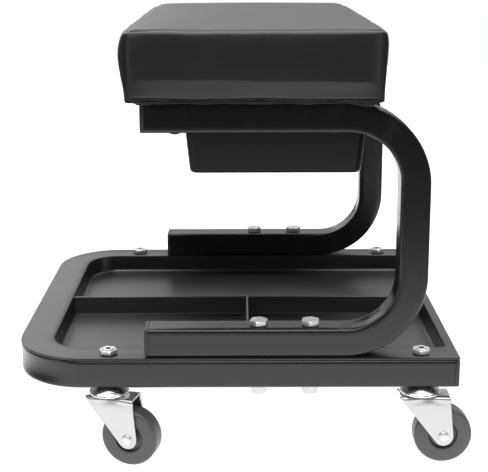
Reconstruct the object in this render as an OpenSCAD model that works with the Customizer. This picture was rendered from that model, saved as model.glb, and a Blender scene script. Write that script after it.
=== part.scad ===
// Low rolling work seat: a padded seat on two C-shaped tubes over a tool tray with four casters,
// and a drawer that slides under the seat. +X is the open end of the base, +Z is up.
// The origin is on the floor, at the middle of the whole seat.

/* [Frame tube] */
// Side of the square tube that all three frames are bent from
tube = 25.4; // [22:0.2:28]
// Wall thickness of the tube
tube_wall = 1.5; // [1:0.1:2.2]
// Outside corner radius of the tube section
tube_corner = 3; // [2.4:0.1:4]

/* [Base] */
// Length of the base from its closed end to the faces of its end caps
base_len = 388; // [370:1:400]
// Outside bend radius of the closed end
base_bend = 62; // [56:1:72]

/* [Tool tray] */
// Thickness of the tray's flange, which lies on the rails
flange_t = 2.1; // [1.6:0.1:3]
// Thickness of the tray's walls and floor
tray_wall = 1.6; // [1.2:0.1:2.4]
// Depth of the tray from the top of the flange to the floor
tray_depth = 18; // [12:1:24]
// Width of the flange at the closed end, to the inside of the tray
left_ledge = 31; // [30:1:40]
// Width of the flange at the open end
right_ledge = 8.4; // [6:0.2:16]
// Inside corner radius of the tray at the open end
tray_right_corner = 5; // [3:0.5:10]
// Place of the short divider, from the closed end
short_divider_in = 206; // [170:1:240]
// Thickness of the dividers at the top
divider_top = 2.6; // [2:0.2:5]
// Thickness of the dividers at the floor
divider_foot = 8; // [5:0.5:12]

/* [Seat frames] */
// Place of the open ends of the C tubes, from the closed end of the base
c_in = 116.5; // [106:0.5:124]
// Length of the C tubes from their open ends to the back of their upright runs
c_len = 242; // [228:1:252]
// Height of the C tubes over the tray flange
c_height = 220.5; // [200:0.5:260]
// How far the C tubes stand in from the outer faces of the rails
c_inset = 1.5; // [0:0.5:3]
// Outside bend radius of the C tubes
c_bend = 70; // [60:1:80]
// Thickness of the flange of each plastic end cap
cap_flange = 4; // [2:0.5:6]
// Length of each end cap's plug inside the tube
cap_plug = 13; // [8:1:20]

/* [Frame bolts] */
// Diameter of the bolts that hold the C tubes down
bolt_d = 9.5; // [8:0.5:10]
// Width over the flats of their hex heads and nuts
bolt_af = 14.3; // [14:0.1:17]
// Height of the bolt heads
bolt_head = 5.6; // [4:0.2:7]
// Height of the lock nuts
nut_h = 8.4; // [7:0.2:11]
// Place of the first bolt, from the open ends of the C tubes
bolt_in = 98.5; // [80:0.5:110]
// Distance between the two bolts of one tube
bolt_pitch = 44.7; // [30:0.1:60]

/* [Seat] */
// Length of the seat along X, between its corner seams
seat_len = 218.4; // [200:0.2:236]
// Width of the seat along Y, between its corner seams
seat_wid = 372; // [350:1:390]
// How far the seat stands out past the base on each side
seat_side = 12; // [8:0.5:16]
// Height of the seat from the C tubes to the top edge of its sides
seat_h = 60; // [45:1:80]
// Middle of the seat along X, from the closed end of the base
seat_in = 211; // [205:0.5:216]
// How far the middle of the top stands over its edge
seat_crown = 4.5; // [2:0.5:10]
// How far the middles of the sides stand out
seat_puff = 5.5; // [2:0.5:8]
// Rounding of the seat's upper edges
seat_edge = 5; // [3:0.5:8]
// Rounding of the seat's lower edges, where the cover folds under the board
seat_under_edge = 2.5; // [2:0.5:5]
// Radius of the seat's upright corners
seat_corner = 9; // [7:0.5:16]
// Thickness of the cover
cover_t = 1.2; // [0.8:0.1:2]
// Width of the cover's fold under the board
cover_fold = 14; // [10:0.5:15]
// Thickness of the plywood board
board_t = 12; // [9:0.5:18]
// Distance of the first seat bolt from the open ends of the C tubes
seat_bolt_in = 28.5; // [22:0.5:40]
// Distance between the two seat bolts of one tube
seat_bolt_pitch = 132; // [110:1:140]
// Diameter of the seat bolts
seat_bolt_d = 6; // [5:0.5:8]

/* [Drawer] */
// Length of the drawer's tub at the top
tub_len = 161; // [140:1:170]
// Depth of the tub under its flange
tub_depth = 64; // [40:1:70]
// Place of the tub's wall at the open end, from the open ends of the C tubes
tub_in = 33; // [30:1:44]
// Thickness of the drawer's walls and flange
drawer_wall = 2; // [1.6:0.1:3]
// How much the tub's ends and sides draw in from top to bottom
tub_draft = 6; // [2:0.5:10]
// Radius of the tub's upright corners
tub_corner = 14; // [9:1:20]
// Length of the pull ledge at the open end
pull_ledge = 37; // [28:1:38]
// Length of the drawer's rails
rail_len = 194; // [180:1:200]
// Width of the pull lip
pull_wid = 130; // [90:1:180]
// Drop of the pull lip
pull_drop = 15; // [10:0.5:20]
// How far the pull lip flares out
pull_flare = 5; // [2:0.5:8]
// How far the drawer slides out
drawer_travel = 130; // [80:1:140]

/* [Casters] */
// Height from the floor to the underside of the rails
caster_h = 71.3; // [68:0.1:90]
// Diameter of the wheels
wheel_d = 50.8; // [46:0.2:52]
// Width of the wheels
wheel_w = 17.5; // [15:0.5:20]
// Place of the casters at the closed end, from that end
caster_a_in = 84.2; // [76:0.2:96]
// Place of the casters at the open end, from that end
caster_b_in = 32; // [26:0.5:40]
// Distance that the axle trails behind the stem
trail = 20.2; // [16:0.2:24]
// Diameter of the stems
stem_d = 9.5; // [8:0.5:10]
// Diameter of the top cups
cup_d = 35.5; // [32:0.5:40]
// Thickness of the fork's steel
fork_t = 2; // [1.6:0.1:2.6]
// Diameter of the axles
axle_d = 6; // [5:0.5:7]
// Angles that the forks stand at: front left, front right, rear left, rear right
fork_turn = [-16, 0, 12, 0];

/* [Hidden] */
$fn = 72;

// Clearances and the overrun of cuts
gap = 0.3;        // between pieces that only lie near each other
slip = 0.1;       // round a bolt, pin or plug
run = 0.08;       // radial, where one piece turns on another
hole_slack = 0.5; // added to the diameter of a bolt hole
over = 1;         // how far a cut runs past its face

// Places that everything is measured from
wheel_r = wheel_d / 2;
base_wid = seat_wid - 2 * seat_side;
whole_len = base_len - caster_b_in + trail + wheel_r;
x_end = -whole_len / 2;
rail_z = caster_h;
deck_z = rail_z + tube;
rim_z = deck_z + flange_t;
rail_y = base_wid / 2 - tube / 2;
frame_y = rail_y - c_inset;
c_top_z = rim_z + c_height;
c_x = x_end + c_in;
bolt_xs = [c_x + bolt_in, c_x + bolt_in + bolt_pitch];
seat_bolt_xs = [c_x + seat_bolt_in, c_x + seat_bolt_in + seat_bolt_pitch];
caster_a_x = x_end + caster_a_in;
caster_b_x = x_end + base_len - caster_b_in;
caster_xs = [caster_a_x, caster_b_x, caster_a_x, caster_b_x];
caster_ys = [-rail_y, -rail_y, rail_y, rail_y];

// Square tube

// Rounded square, centred
module round_square(side, r) {
    square([side, side - 2 * r], center = true);
    square([side - 2 * r, side], center = true);
    for (sx = [-1, 1], sy = [-1, 1])
        translate([sx * (side / 2 - r), sy * (side / 2 - r)]) circle(r);
}

module tube_section() {
    difference() {
        round_square(tube, tube_corner);
        round_square(tube - 2 * tube_wall, tube_corner - tube_wall);
    }
}

// Straight run from the origin along +X
module tube_run(len) {
    rotate([90, 0, 90]) linear_extrude(len) tube_section();
}

// Quarter bend in the XY plane about the origin, from +X round to +Y
module tube_bend(outside_r) {
    rotate_extrude(angle = 90) translate([outside_r - tube / 2, 0]) tube_section();
}

// Rectangle in plan with its own corner radius at each end
module plan(x0, x1, half_w, r0, r1) {
    translate([x0 + r0, -half_w]) square([x1 - x0 - r0 - r1, 2 * half_w]);
    translate([x0, r0 - half_w]) square([r0, 2 * (half_w - r0)]);
    for (s = [-1, 1]) translate([x0 + r0, s * (half_w - r0)]) circle(r0);
    if (r1 > 0) {
        translate([x1 - r1, r1 - half_w]) square([r1, 2 * (half_w - r1)]);
        for (s = [-1, 1]) translate([x1 - r1, s * (half_w - r1)]) circle(r1);
    }
}

// Base frame

base_tube_end = x_end + base_len - cap_flange;
cup_r = cup_d / 2;

module base_frame() {
    color([0.10, 0.10, 0.11]) difference() {
        union() {
            for (s = [-1, 1]) {
                translate([x_end + base_bend, s * rail_y, rail_z + tube / 2])
                    tube_run(base_tube_end - x_end - base_bend);
                translate([x_end + base_bend, s * (base_wid / 2 - base_bend), rail_z + tube / 2])
                    rotate(s > 0 ? 90 : 180) tube_bend(base_bend);
            }
            translate([x_end + tube / 2, base_bend - base_wid / 2, rail_z + tube / 2])
                rotate(90) tube_run(base_wid - 2 * base_bend);
        }
        for (s = [-1, 1]) {
            for (x = bolt_xs) translate([x, s * frame_y, rail_z - over])
                cylinder(d = bolt_d + hole_slack, h = tube + 2 * over);
            for (x = [caster_a_x, caster_b_x]) translate([x, s * rail_y, rail_z - over])
                cylinder(d = stem_d + hole_slack, h = tube + 2 * over);
        }
    }
}

// End cap: its flange covers the tube's end, its hollow plug goes inside. It faces +X.
cap_wall = 2;

module end_cap() {
    plug_side = tube - 2 * tube_wall - 2 * slip;
    plug_corner = tube_corner - tube_wall;
    color([0.08, 0.08, 0.08]) {
        rotate([90, 0, 90]) {
            linear_extrude(cap_flange) round_square(tube, tube_corner);
            translate([0, 0, -cap_plug]) linear_extrude(cap_plug) difference() {
                round_square(plug_side, plug_corner);
                square(plug_side - 2 * cap_wall, center = true);
            }
        }
    }
}

module base_end_caps() {
    for (s = [-1, 1]) translate([base_tube_end, s * rail_y, rail_z + tube / 2]) end_cap();
}

// Tool tray

well_x0 = x_end + left_ledge;
well_x1 = x_end + base_len - right_ledge;
well_half = base_wid / 2 - tube - gap - tray_wall;
well_corner = base_bend - left_ledge;
floor_z = rim_z - tray_depth;
divider_drop = 0.6;
divider_x = x_end + short_divider_in;

// Cross-section of a divider, wider at its foot
module divider_shape() {
    top = tray_depth - divider_drop;
    polygon([[-divider_foot / 2, 0], [divider_foot / 2, 0], [divider_top / 2, top],
             [-divider_top / 2, top]]);
}

module tool_tray() {
    color([0.13, 0.13, 0.14]) difference() {
        union() {
            translate([0, 0, deck_z]) linear_extrude(flange_t)
                plan(x_end, x_end + base_len, base_wid / 2, base_bend, 0);
            translate([0, 0, floor_z - tray_wall]) linear_extrude(tray_depth + tray_wall - flange_t)
                plan(well_x0 - tray_wall, well_x1 + tray_wall, well_half + tray_wall,
                     well_corner + tray_wall, tray_right_corner + tray_wall);
        }
        difference() {
            translate([0, 0, floor_z]) linear_extrude(tray_depth + over)
                plan(well_x0, well_x1, well_half, well_corner, tray_right_corner);
            translate([well_x0 - over, 0, floor_z]) rotate([90, 0, 90])
                linear_extrude(well_x1 - well_x0 + 2 * over) divider_shape();
            translate([divider_x, 0, floor_z]) rotate([90, 0, 0])
                linear_extrude(well_half + over) divider_shape();
        }
        for (s = [-1, 1]) {
            for (x = bolt_xs) translate([x, s * frame_y, deck_z - over])
                cylinder(d = bolt_d + hole_slack, h = flange_t + 2 * over);
            for (x = [caster_a_x, caster_b_x]) translate([x, s * rail_y, deck_z - over])
                cylinder(d = stem_d + hole_slack, h = flange_t + 2 * over);
        }
    }
}

// Seat frames

c_back_x = c_x + c_len;
c_tube_x = c_x + cap_flange;

module seat_frame(y) {
    run_len = c_back_x - c_bend - c_tube_x;
    color([0.10, 0.10, 0.11]) difference() {
        translate([0, y, 0]) rotate([90, 0, 0]) {
            for (z = [rim_z + tube / 2, c_top_z - tube / 2])
                translate([c_tube_x, z, 0]) tube_run(run_len);
            translate([c_back_x - c_bend, rim_z + c_bend, 0]) rotate(-90) tube_bend(c_bend);
            translate([c_back_x - c_bend, c_top_z - c_bend, 0]) tube_bend(c_bend);
            translate([c_back_x - tube / 2, rim_z + c_bend, 0]) rotate(90)
                tube_run(c_height - 2 * c_bend);
        }
        for (x = bolt_xs) translate([x, y, rim_z - over])
            cylinder(d = bolt_d + hole_slack, h = tube + 2 * over);
        for (x = seat_bolt_xs) translate([x, y, c_top_z - tube - over])
            cylinder(d = seat_bolt_d + hole_slack, h = tube + 2 * over);
    }
}

module seat_frame_end_caps() {
    for (s = [-1, 1], z = [rim_z + tube / 2, c_top_z - tube / 2])
        translate([c_tube_x, s * frame_y, z]) rotate(180) end_cap();
}

// Bolts and nuts of the frames

hex_chamfer = 1;
nylon_h = 1.8;
bolt_end = 1;

// Hex prism with its top corners turned off
module hex_head(flats, h) {
    corner_r = flats / 2 / cos(30);
    intersection() {
        cylinder(r = corner_r, h = h, $fn = 6);
        rotate_extrude() polygon([[0, 0], [corner_r, 0], [corner_r, h - hex_chamfer],
                                  [flats / 2 - hex_chamfer / 2, h], [0, h]]);
    }
}

module frame_bolts() {
    color([0.80, 0.80, 0.82]) for (s = [-1, 1], x = bolt_xs) translate([x, s * frame_y, 0]) {
        translate([0, 0, rim_z + tube]) hex_head(bolt_af, bolt_head);
        translate([0, 0, rail_z - nut_h - bolt_end])
            cylinder(d = bolt_d, h = 2 * tube + flange_t + nut_h + bolt_end);
    }
}

module frame_lock_nuts() {
    color([0.82, 0.82, 0.84]) for (s = [-1, 1], x = bolt_xs)
        translate([x, s * frame_y, rail_z]) mirror([0, 0, 1]) difference() {
            union() {
                hex_head(bolt_af, nut_h - nylon_h);
                cylinder(d = bolt_af - hex_chamfer, h = nut_h);
            }
            translate([0, 0, -over]) cylinder(d = bolt_d + 2 * slip, h = nut_h + 2 * over);
        }
}

// Seat: rings of points round a box with puffed sides and a crowned top

seat_x = x_end + seat_in;
cover_z = c_top_z + gap;
board_z = cover_z + cover_t + gap;
corner_steps = 3;
side_steps = 9;

// Points of one corner, and of the side that follows it, seen from above and anticlockwise
function corner_points(cx, cy, r, from) =
    [for (i = [0 : corner_steps - 1]) let (a = from + 90 * i / (corner_steps - 1))
        [cx + r * cos(a), cy + r * sin(a)]];
function side_points(p, q, out, puff) =
    [for (i = [1 : side_steps]) let (t = i / (side_steps + 1), w = 1 - pow(2 * t - 1, 2))
        p + (q - p) * t + out * puff * w];
function ring(half_x, half_y, r, puff) = let (
        cx = half_x - r, cy = half_y - r,
        c = [corner_points(cx, cy, r, 0), corner_points(-cx, cy, r, 90),
             corner_points(-cx, -cy, r, 180), corner_points(cx, -cy, r, 270)],
        outs = [[0, 1], [-1, 0], [0, -1], [1, 0]])
    [for (k = [0 : 3]) each concat(c[k],
        side_points(c[k][corner_steps - 1], c[(k + 1) % 4][0], outs[k], puff))];
function at_height(points, z) = [for (p = points) [p[0], p[1], z]];
// Row of a rounded edge: shares are of the edge's inset, of its height and of the sides' puff
function edge_row(half_x, half_y, r, edge, shares, z) = at_height(ring(half_x - edge * shares[0],
    half_y - edge * shares[0], max(r - edge * shares[0], r / 3), seat_puff * shares[2]), z);
function lifted(points, plan_share, z, crown) =
    [for (p = points) [p[0] * plan_share, p[1] * plan_share, z + crown * (1 - pow(plan_share, 2))]];

// Rows of the closed form from the bottom up: lower edge, body, upper edge, then shares of the plan
side_row_shares = [[1, 0, 0], [0.3, 0.3, 0.1], [0, 1, 0.35]];
body_height_shares = [0.25, 0.5, 0.75];
body_puff_shares = [0.8, 1, 0.8];
top_shares = [0.9, 0.75, 0.55, 0.3];

module cushion_form(inset, z0, z1, crown) {
    hx = seat_len / 2 - inset;
    hy = seat_wid / 2 - inset;
    r = seat_corner - inset;
    lower = [for (s = side_row_shares)
        edge_row(hx, hy, r, seat_under_edge, s, z0 + seat_under_edge * s[1])];
    body_z = z0 + seat_under_edge;
    middle = [for (i = [0 : len(body_height_shares) - 1])
        at_height(ring(hx, hy, r, seat_puff * body_puff_shares[i]),
                  body_z + (z1 - seat_edge - body_z) * body_height_shares[i])];
    upper = [for (i = [len(side_row_shares) - 1 : -1 : 0]) let (s = side_row_shares[i])
        edge_row(hx, hy, r, seat_edge, s, z1 - seat_edge * s[1])];
    rim = ring(hx - seat_edge, hy - seat_edge, max(r - seat_edge, r / 3), 0);
    top = [for (s = top_shares) lifted(rim, s, z1, crown)];
    rows = concat(lower, middle, upper, top);
    n = len(rim);
    m = len(rows);
    points = concat([for (row = rows) each row], [[0, 0, z0], [0, 0, z1 + crown]]);
    sides = [for (j = [0 : m - 2], i = [0 : n - 1]) let (
            a = j * n + i, b = j * n + (i + 1) % n, c = (j + 1) * n + (i + 1) % n, d = (j + 1) * n + i)
        each [[a, c, b], [a, d, c]]];
    ends = [for (i = [0 : n - 1]) each [[m * n, i, (i + 1) % n],
        [m * n + 1, (m - 1) * n + (i + 1) % n, (m - 1) * n + i]]];
    translate([seat_x, 0, 0]) polyhedron(points, concat(sides, ends), convexity = 4);
}

board_inset = cover_t + gap + seat_under_edge;
board_hx = seat_len / 2 - board_inset;
board_hy = seat_wid / 2 - board_inset;
board_corner = 6;
board_top_z = board_z + board_t;
seat_top_z = c_top_z + seat_h;
tee_flange_d = 18;
tee_flange_t = 1.4;
tee_barrel_d = seat_bolt_d + 2;

module board_plan(inset, r) {
    translate([seat_x, 0]) plan(-board_hx + inset, board_hx - inset, board_hy - inset, r, r);
}

module seat_board() {
    color([0.72, 0.56, 0.36]) difference() {
        translate([0, 0, board_z]) linear_extrude(board_t) board_plan(0, board_corner);
        for (s = [-1, 1], x = seat_bolt_xs) translate([x, s * frame_y, board_z - over])
            cylinder(d = tee_barrel_d + 2 * slip, h = board_t + 2 * over);
        for (s = [-1, 1], x = rail_screw_xs) translate([x, s * rail_screw_y, board_z - over])
            cylinder(d = screw_d + 2 * slip, h = screw_bite + over);
    }
}

module seat_foam() {
    color([0.85, 0.80, 0.62]) difference() {
        cushion_form(cover_t + gap, board_z, seat_top_z - cover_t - gap, seat_crown);
        translate([x_end, -base_wid, board_z - over])
            cube([whole_len, 2 * base_wid, board_t + over + gap]);
        for (s = [-1, 1], x = seat_bolt_xs) translate([x, s * frame_y, board_top_z])
            cylinder(d = tee_flange_d + 2 * gap, h = tee_flange_t + seat_bolt_d + gap);
    }
}

module seat_cover() {
    color([0.09, 0.09, 0.10]) difference() {
        cushion_form(0, cover_z, seat_top_z, seat_crown);
        cushion_form(cover_t, cover_z + cover_t, seat_top_z - cover_t, seat_crown);
        translate([0, 0, cover_z - over]) linear_extrude(cover_t + 2 * over)
            board_plan(cover_fold, board_corner);
    }
}

// Staples along the cover's fold, clear of the C tubes and the drawer's rails
staple_l = 10;
staple_w = 1.2;
staple_t = 0.6;
staple_edge = 6;
staples_long = 9;
staples_short = 6;

module staple(turn) {
    rotate(turn) translate([-staple_l / 2, -staple_w / 2, cover_z - staple_t])
        cube([staple_l, staple_w, staple_t]);
}

module cover_staples() {
    long_half = rail_y_out - rail_web - staple_l;
    color([0.75, 0.75, 0.78]) {
        for (s = [-1, 1], i = [0 : staples_short - 1])
            translate([seat_x - board_hx + 2 * board_hx * (i + 0.5) / staples_short,
                       s * (base_wid / 2 + staple_w + gap), 0]) staple(0);
        for (s = [-1, 1], i = [0 : staples_long - 1])
            translate([seat_x + s * (board_hx - staple_edge),
                       long_half * (2 * i / (staples_long - 1) - 1), 0]) staple(90);
    }
}

module seat_tee_nuts() {
    color([0.78, 0.78, 0.80]) for (s = [-1, 1], x = seat_bolt_xs)
        translate([x, s * frame_y, 0]) difference() {
            union() {
                translate([0, 0, board_top_z]) cylinder(d = tee_flange_d, h = tee_flange_t);
                translate([0, 0, board_z]) cylinder(d = tee_barrel_d, h = board_t);
            }
            translate([0, 0, board_z - over])
                cylinder(d = seat_bolt_d + 2 * slip, h = board_t + tee_flange_t + 2 * over);
        }
}

seat_bolt_head_d = 13;
seat_bolt_head_h = 2.4;

module seat_bolts() {
    under_z = c_top_z - tube;
    color([0.80, 0.80, 0.82]) for (s = [-1, 1], x = seat_bolt_xs) translate([x, s * frame_y, 0]) {
        translate([0, 0, under_z]) rotate_extrude() polygon([[0, 0], [seat_bolt_head_d / 2, 0],
            [seat_bolt_head_d / 2, -seat_bolt_head_h / 3], [seat_bolt_head_d / 4, -seat_bolt_head_h],
            [0, -seat_bolt_head_h]]);
        translate([0, 0, under_z]) cylinder(d = seat_bolt_d, h = board_top_z - under_z);
    }
}

// Drawer rails: a web screwed to the board, a wall, and a lip that carries the drawer's flange

rail_t = 1.5;
rail_web = 12;
rail_lip = 10;
rail_room = 3.4;     // height inside the rail over the drawer's flange
rail_off = 0.8;      // from the C tube's inner face to the rail
rail_in = 2;         // from the C tubes' open ends to the rail
rail_screw_in = 14;  // from the seat bolts to the rail's screws
rail_h = rail_room + drawer_wall + 2 * rail_t;
rail_y_out = frame_y - tube / 2 - rail_off;
rail_front_x = c_x + rail_in;
rail_back_x = rail_front_x + rail_len;
screw_d = 4;
screw_head_d = 7.5;
screw_head_h = 1.8;
screw_bite = 9;
rail_screw_y = rail_y_out - rail_web / 2;
rail_screw_xs = [seat_bolt_xs[0] + rail_screw_in, seat_bolt_xs[1] - rail_screw_in];

// The rail that lies at +Y: its open side faces the middle
module drawer_rail() {
    top = cover_z;
    color([0.12, 0.12, 0.13]) difference() {
        union() {
            translate([rail_front_x, rail_y_out - rail_web, top - rail_t])
                cube([rail_back_x - rail_front_x, rail_web, rail_t]);
            translate([rail_front_x, rail_y_out - rail_t, top - rail_h])
                cube([rail_back_x - rail_front_x, rail_t, rail_h]);
            translate([rail_front_x, rail_y_out - rail_lip, top - rail_h])
                cube([rail_back_x - rail_front_x, rail_lip, rail_t]);
            translate([rail_back_x - rail_t, rail_y_out - rail_lip, top - rail_h])
                cube([rail_t, rail_lip, rail_h]);
        }
        for (x = rail_screw_xs) translate([x, rail_screw_y, top - rail_t - over])
            cylinder(d = screw_d + 2 * slip, h = rail_t + 2 * over);
    }
}

module drawer_rail_screws() {
    color([0.78, 0.78, 0.80]) for (s = [-1, 1], x = rail_screw_xs)
        translate([x, s * rail_screw_y, 0]) {
            translate([0, 0, cover_z - rail_t]) rotate_extrude() polygon([[0, 0],
                [screw_head_d / 2, 0], [screw_head_d / 3, -screw_head_h], [0, -screw_head_h]]);
            translate([0, 0, cover_z - rail_t])
                cylinder(d = screw_d, h = board_z + screw_bite - gap - cover_z + rail_t);
        }
}

// Drawer: flange on the rail lips, tapered tub, pull ledge with a turned-down lip

drawer_top_z = cover_z - rail_h + rail_t + gap + drawer_wall;
drawer_play = 0.8;   // from the rail's wall to the drawer's flange
tub_play = 2;        // from the rail's lip to the tub
drawer_half = rail_y_out - rail_t - drawer_play;
tub_x0 = c_x + tub_in;
tub_x1 = tub_x0 + tub_len;
tub_half = rail_y_out - rail_lip - tub_play;
ledge_x = tub_x0 - pull_ledge;
drawer_back_x = rail_back_x - rail_t - gap;
ledge_corner = 6;
tub_floor_z = drawer_top_z - tub_depth;
tub_round = 7;
tub_round_steps = 4;

// Thin slice of the tub at a height, drawn in by the draft and by an inset
module tub_slice(inset, z, h) {
    d = inset + tub_draft * (drawer_top_z - z) / tub_depth;
    translate([0, 0, z]) linear_extrude(h)
        plan(tub_x0 + d, tub_x1 - d, tub_half - d, tub_corner - inset, tub_corner - inset, $fn = 32);
}

// The tub as one solid, down to a round along its floor
module tub_solid(inset, top_z, bottom_z) {
    skin = drawer_wall / 4;
    hull() {
        tub_slice(inset, top_z - skin, skin);
        for (k = [0 : tub_round_steps]) let (a = 90 * k / tub_round_steps)
            tub_slice(inset + tub_round * (1 - cos(a)), bottom_z + tub_round * (1 - sin(a)), skin);
    }
}

module drawer() {
    color([0.11, 0.11, 0.12]) difference() {
        union() {
            translate([0, 0, drawer_top_z - drawer_wall]) linear_extrude(drawer_wall)
                plan(ledge_x, drawer_back_x, drawer_half, ledge_corner, ledge_corner);
            tub_solid(0, drawer_top_z, tub_floor_z);
            translate([ledge_x, pull_wid / 2, drawer_top_z - drawer_wall]) rotate([90, 0, 0])
                linear_extrude(pull_wid) polygon([[drawer_wall / 2, drawer_wall / 2],
                    [drawer_wall * 3 / 2, drawer_wall / 2],
                    [drawer_wall - pull_flare, -pull_drop], [-pull_flare, -pull_drop]]);
        }
        tub_solid(drawer_wall, drawer_top_z + over, tub_floor_z + drawer_wall);
    }
}

// Casters: heights are measured down from the underside of the rail

stem_nut_h = 4.2;
stem_nut_af = 14.3;
stem_proud = 0.6;
stem_mark_d = 4;
cup_top_r = 8.6;
cup_drop = 5.6;
cup_rim = 1.7;
cup_t = 1.4;
plate_drop = 9.4;
race_r0 = 8;
race_r1 = 14.4;
race_lift = 1.6;
ball_d = 3;
ball_ring_r = 11.8;
ball_count = 12;
peen_r = 7.5;
peen_h = 2.6;
plate_z = rail_z - plate_drop;
race_z = plate_z + race_lift;
axle_z = wheel_r;
fork_inside = 19.6;
fork_half = fork_inside / 2 + fork_t;
fork_front = 17.5;
fork_back = 25;
foot_r = 8.4;
axle_head_d = 9.5;
axle_head_h = 1.9;
bush_wall = 1.5;
tread_round = 2.4;
hub_recess_d = 24.6;
hub_recess = 3.2;
hub_boss_d = 15;
hub_boss_rise = 2.4;
round_steps = 4;

module at_caster(i) {
    translate([caster_xs[i], caster_ys[i], 0]) rotate(fork_turn[i]) children();
}

module caster_stems() {
    foot_z = plate_z - fork_t - gap - peen_h;
    head_z = rim_z + stem_nut_h + stem_proud;
    color([0.78, 0.78, 0.80]) for (i = [0 : 3]) at_caster(i) difference() {
        union() {
            translate([0, 0, foot_z]) cylinder(d = stem_d, h = head_z - foot_z);
            translate([0, 0, foot_z]) rotate_extrude() polygon([[0, 0], [peen_r - peen_h / 2, 0],
                [peen_r, peen_h / 2], [peen_r, peen_h], [0, peen_h]]);
        }
        translate([0, 0, head_z - stem_proud]) cylinder(d = stem_mark_d, h = stem_proud + over);
    }
}

module caster_stem_nuts() {
    color([0.85, 0.85, 0.86]) for (i = [0 : 3]) at_caster(i) difference() {
        translate([0, 0, rim_z]) hex_head(stem_nut_af, stem_nut_h);
        translate([0, 0, rim_z - over]) cylinder(d = stem_d + 2 * slip, h = stem_nut_h + 2 * over);
    }
}

module caster_top_cups() {
    bore_r = stem_d / 2 + slip;
    color([0.85, 0.85, 0.87]) for (i = [0 : 3]) at_caster(i) translate([0, 0, rail_z])
        rotate_extrude() polygon([[bore_r, 0], [cup_top_r, 0], [cup_r, -cup_drop],
            [cup_r, -cup_drop - cup_rim], [cup_r - cup_t, -cup_drop - cup_rim],
            [cup_r - cup_t, -cup_drop - cup_t / 2], [cup_top_r - cup_t / 2, -cup_t],
            [bore_r, -cup_t]]);
}

module swivel_balls() {
    color([0.7, 0.7, 0.72]) for (i = [0 : 3]) at_caster(i) for (k = [0 : ball_count - 1])
        rotate(360 * k / ball_count) translate([ball_ring_r, 0, race_z + gap + ball_d / 2])
            sphere(d = ball_d, $fn = 24);
}

// Point where the line from p touches the circle at c of radius r, on the given side
function touch(p, c, r, side) = let (v = c - p, a = atan2(v[1], v[0]), b = asin(r / norm(v)))
    c + r * [cos(a + side * (b + 90)), sin(a + side * (b + 90))];

// One leg of the fork from the side, in X and Z
module leg_shape() {
    top = plate_z;
    foot = [trail, axle_z];
    front = [-fork_front, top];
    back = [fork_back, top];
    front_foot = touch(front, foot, foot_r, -1);
    back_foot = touch(back, foot, foot_r, 1);
    polygon([front, [-fork_front + fork_t, top - fork_t], front_foot, foot, back_foot, back]);
    translate(foot) circle(foot_r);
}

module caster_fork(i) {
    color([0.88, 0.88, 0.89]) at_caster(i) difference() {
        union() {
            translate([0, 0, plate_z - fork_t]) linear_extrude(fork_t) {
                circle(fork_front);
                translate([0, -fork_half]) square([fork_back, 2 * fork_half]);
            }
            translate([0, 0, plate_z]) difference() {
                cylinder(r1 = race_r1 + race_lift / 2, r2 = race_r1, h = race_lift);
                translate([0, 0, -over]) cylinder(r = race_r0, h = race_lift + 2 * over);
            }
            for (s = [-1, 1]) translate([0, s > 0 ? fork_half : fork_t - fork_half, 0])
                rotate([90, 0, 0]) linear_extrude(fork_t) leg_shape();
        }
        translate([0, 0, plate_z - fork_t - over])
            cylinder(r = stem_d / 2 + run, h = fork_t + 2 * over);
        translate([trail, fork_half + over, axle_z]) rotate([90, 0, 0])
            cylinder(d = axle_d + 2 * slip, h = 2 * (fork_half + over));
    }
}

module caster_axle(i) {
    color([0.84, 0.84, 0.86]) at_caster(i) translate([trail, 0, axle_z]) {
        rotate([90, 0, 0]) cylinder(d = axle_d, h = 2 * fork_half, center = true);
        for (s = [-1, 1]) translate([0, s * fork_half, 0]) rotate([-90 * s, 0, 0])
            rotate_extrude() polygon([[0, 0], [axle_head_d / 2, 0],
                [axle_head_d / 2, axle_head_h / 3], [axle_head_d / 3, axle_head_h],
                [0, axle_head_h]]);
    }
}

module caster_bush(i) {
    color([0.75, 0.75, 0.77]) at_caster(i) translate([trail, 0, axle_z]) rotate([90, 0, 0])
        difference() {
            cylinder(d = axle_d + 2 * slip + 2 * bush_wall, h = fork_inside - 2 * slip, center = true);
            cylinder(d = axle_d + 2 * slip, h = fork_inside + 2 * over, center = true);
        }
}

// Half of the wheel's section: rounded tread corner, recess and hub boss
function tread_arc() = [for (k = [0 : round_steps]) let (a = 90 * k / round_steps)
    [wheel_r - tread_round + tread_round * cos(a), wheel_w / 2 - tread_round + tread_round * sin(a)]];

module caster_wheel(i) {
    bore_r = axle_d / 2 + slip + bush_wall + run;
    face = wheel_w / 2;
    half = concat([[bore_r, 0]], [[wheel_r, 0]], tread_arc(),
        [[hub_recess_d / 2 + hub_recess / 4, face], [hub_recess_d / 2, face - hub_recess],
         [hub_boss_d / 2, face - hub_recess], [hub_boss_d / 2, face - hub_recess + hub_boss_rise],
         [bore_r, face - hub_recess + hub_boss_rise]]);
    color([0.30, 0.30, 0.31]) at_caster(i) translate([trail, 0, axle_z]) rotate([90, 0, 0]) {
        rotate_extrude() polygon(half);
        mirror([0, 0, 1]) rotate_extrude() polygon(half);
    }
}

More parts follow.
